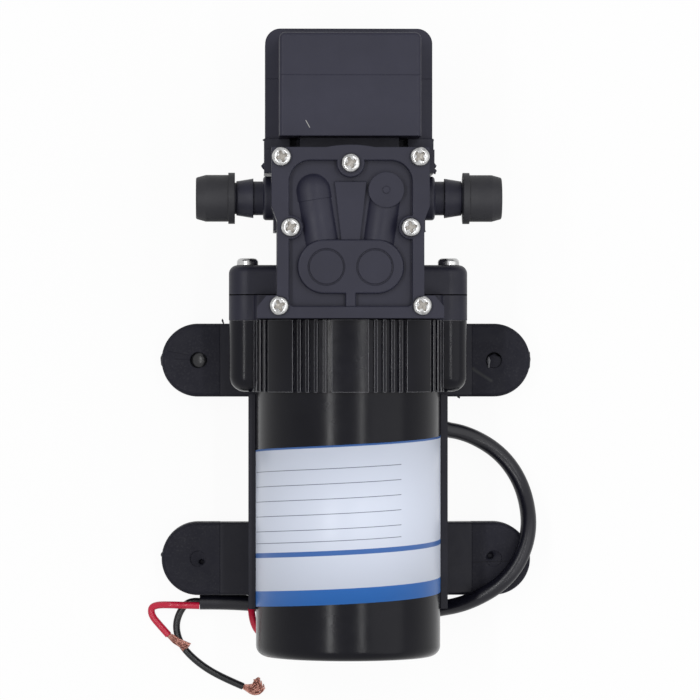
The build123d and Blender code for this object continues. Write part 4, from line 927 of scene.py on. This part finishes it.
# Rounded bits, each a little lumpy in its own way
def make_flash(name, places, finish):
    shape = bmesh.new()
    for number, (centre, size, turn) in enumerate(places):
        bit = bmesh.new()
        bmesh.ops.create_icosphere(bit, subdivisions=2, radius=1)
        for vert in bit.verts:
            x, y, z = vert.co
            broad = 0.16 * math.sin(5 * x + number)
            fine = 0.12 * math.sin(6 * y + 2 * z + number)
            vert.co *= 1 + broad + fine
        bmesh.ops.scale(bit, verts=bit.verts[:], vec=size)
        turned = Matrix.Rotation(turn, 3, "Z")
        bmesh.ops.rotate(bit, verts=bit.verts[:], cent=(0, 0, 0), matrix=turned)
        bmesh.ops.translate(bit, verts=bit.verts[:], vec=centre)
        join_shape(shape, bit, name + "_bit")
    return finish_shape(shape, name, finish, smooth_angle=1.2)


for name, places, finish, slot in (
    ("flash_on_head", head_flash, head_plastic, "head_plastic"),
    ("flash_on_arms", arm_flash, base_plastic, "collar_plastic"),
    ("flash_on_feet", foot_flash, foot_rubber, "foot_rubber"),
):
    flash = make_flash(name, places, finish)
    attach(flash, "pump")


# Soft pieces inside that can't stay as one stiff node when the joints move

# A ring or a disc with this section, given as distances from its middle and heights
def round_profile(name, centre, section, finish):
    shape = bmesh.new()
    corners = [shape.verts.new((centre.x + reach, centre.y, height)) for reach, height in section]
    bmesh.ops.spin(
        shape,
        geom=corners + close_loop(shape, corners),
        cent=centre,
        axis=(0, 0, 1),
        angle=2 * math.pi,
        steps=72,
        use_merge=True,
    )
    return finish_shape(shape, name, finish)


# The diaphragm is parted inside its clamped rim: the middle with its fold goes with the rod
diaphragm_low, diaphragm_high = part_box("pump_diaphragm")
diaphragm_centre = (diaphragm_low + diaphragm_high) / 2
middle_section = [
    (0.00155, 0.0430),
    (0.0065, 0.0430),
    (0.0075, 0.0434),
    (0.0081, 0.0436),
    (0.0086, 0.0439),
    (0.0086, 0.0445),
    (0.0081, 0.0444),
    (0.0075, 0.0445),
    (0.0065, 0.0448),
    (0.00155, 0.0448),
]
rim_section = [(0.0097, 0.0444), (0.0117, 0.0444), (0.0117, 0.0460), (0.0097, 0.0460)]
for name, section, body in (
    ("diaphragm_middle", middle_section, "rod"),
    ("diaphragm_rim", rim_section, "pump"),
):
    part = round_profile(name, diaphragm_centre, section, seal_rubber)
    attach(part, body)
    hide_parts("pump_diaphragm")

# The switch's spring, as a piece of its own in place of its node
spring_shape = bmesh.new()
spring_shape.from_mesh(nodes["switch_spring"].data)
spring = finish_shape(spring_shape, "pressed_spring", inner_steel)
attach(spring, "pump")
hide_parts("switch_spring")
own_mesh(spring)


# Floor, camera and light

# 1 for rays from the camera, from gloss and through clear things, 0 for the light itself
def seen_directly(tree):
    rays = tree.nodes.new("ShaderNodeLightPath")
    total = rays.outputs["Is Camera Ray"]
    for kind in ("Is Glossy Ray", "Is Transmission Ray"):
        total = on_numbers(tree, "MAXIMUM", total, rays.outputs[kind])
    return total


# A pale sheet that glows to the eye only, so that it looks white and still takes the shadow
def make_floor():
    material, tree, shader = start_material("floor_paper")
    shader.inputs["Base Color"].default_value = (0.8, 0.8, 0.8, 1)
    shader.inputs["Roughness"].default_value = 0.9
    glow = tree.nodes.new("ShaderNodeEmission")
    glow.inputs["Color"].default_value = (1, 1, 1, 1)
    mix = tree.nodes.new("ShaderNodeMixShader")
    share = on_numbers(tree, "MULTIPLY", seen_directly(tree), floor_glow)
    tree.links.new(share, mix.inputs["Fac"])
    tree.links.new(shader.outputs["BSDF"], mix.inputs[1])
    tree.links.new(glow.outputs["Emission"], mix.inputs[2])
    output = next(node for node in tree.nodes if node.type == "OUTPUT_MATERIAL")
    tree.links.new(mix.outputs["Shader"], output.inputs["Surface"])
    shape = bmesh.new()
    bmesh.ops.create_grid(shape, x_segments=1, y_segments=1, size=floor_half_size)
    mesh = bpy.data.meshes.new("floor")
    shape.to_mesh(mesh)
    shape.free()
    show("floor", mesh, material)


make_floor()


def make_camera():
    data = bpy.data.cameras.new("camera")
    data.sensor_width = camera_sensor
    data.lens = camera_lens
    camera = bpy.data.objects.new("camera", data)
    bpy.context.scene.collection.objects.link(camera)
    ahead = (camera_target - camera_place).normalized()
    right = ahead.cross(Vector((0, 1, 0))).normalized()
    up = right.cross(ahead)
    turn = Matrix((right, up, -ahead)).transposed()
    camera.matrix_world = Matrix.Translation(camera_place) @ turn.to_4x4()
    bpy.context.scene.camera = camera


make_camera()


# A flat rectangular lamp that looks at the motor's middle
def add_lamp(name, place, size, power):
    data = bpy.data.lights.new(name, "AREA")
    data.shape = "RECTANGLE"
    data.size, data.size_y = size
    data.energy = power
    lamp = bpy.data.objects.new(name, data)
    bpy.context.scene.collection.objects.link(lamp)
    back = (Vector(place) - lamp_target).normalized()
    across = Vector((0, 1, 0)).cross(back).normalized()
    turn = Matrix((across, back.cross(across), back)).transposed()
    lamp.matrix_world = Matrix.Translation(place) @ turn.to_4x4()


add_lamp("key_lamp", place=(0.75, 0.05, 0.70), size=(0.8, 1.4), power=3.2)
add_lamp("left_strip", place=(-0.42, 0.10, 1.00), size=(0.05, 1.2), power=4.6)
add_lamp("right_strip", place=(0.28, 0.10, 1.05), size=(0.04, 1.2), power=3.0)


# White where the camera looks and in reflections, softer as a light
def make_world():
    world = bpy.data.worlds.new("studio")
    bpy.context.scene.world = world
    world.use_nodes = True
    tree = world.node_tree
    sky = tree.nodes["Background"]
    sky.inputs["Color"].default_value = (1, 1, 1, 1)
    level = add_range(tree, seen_directly(tree), sky_as_light, 1.0, (0, 1))
    tree.links.new(level, sky.inputs["Strength"])


make_world()

bpy.context.scene.view_settings.view_transform = "Standard"
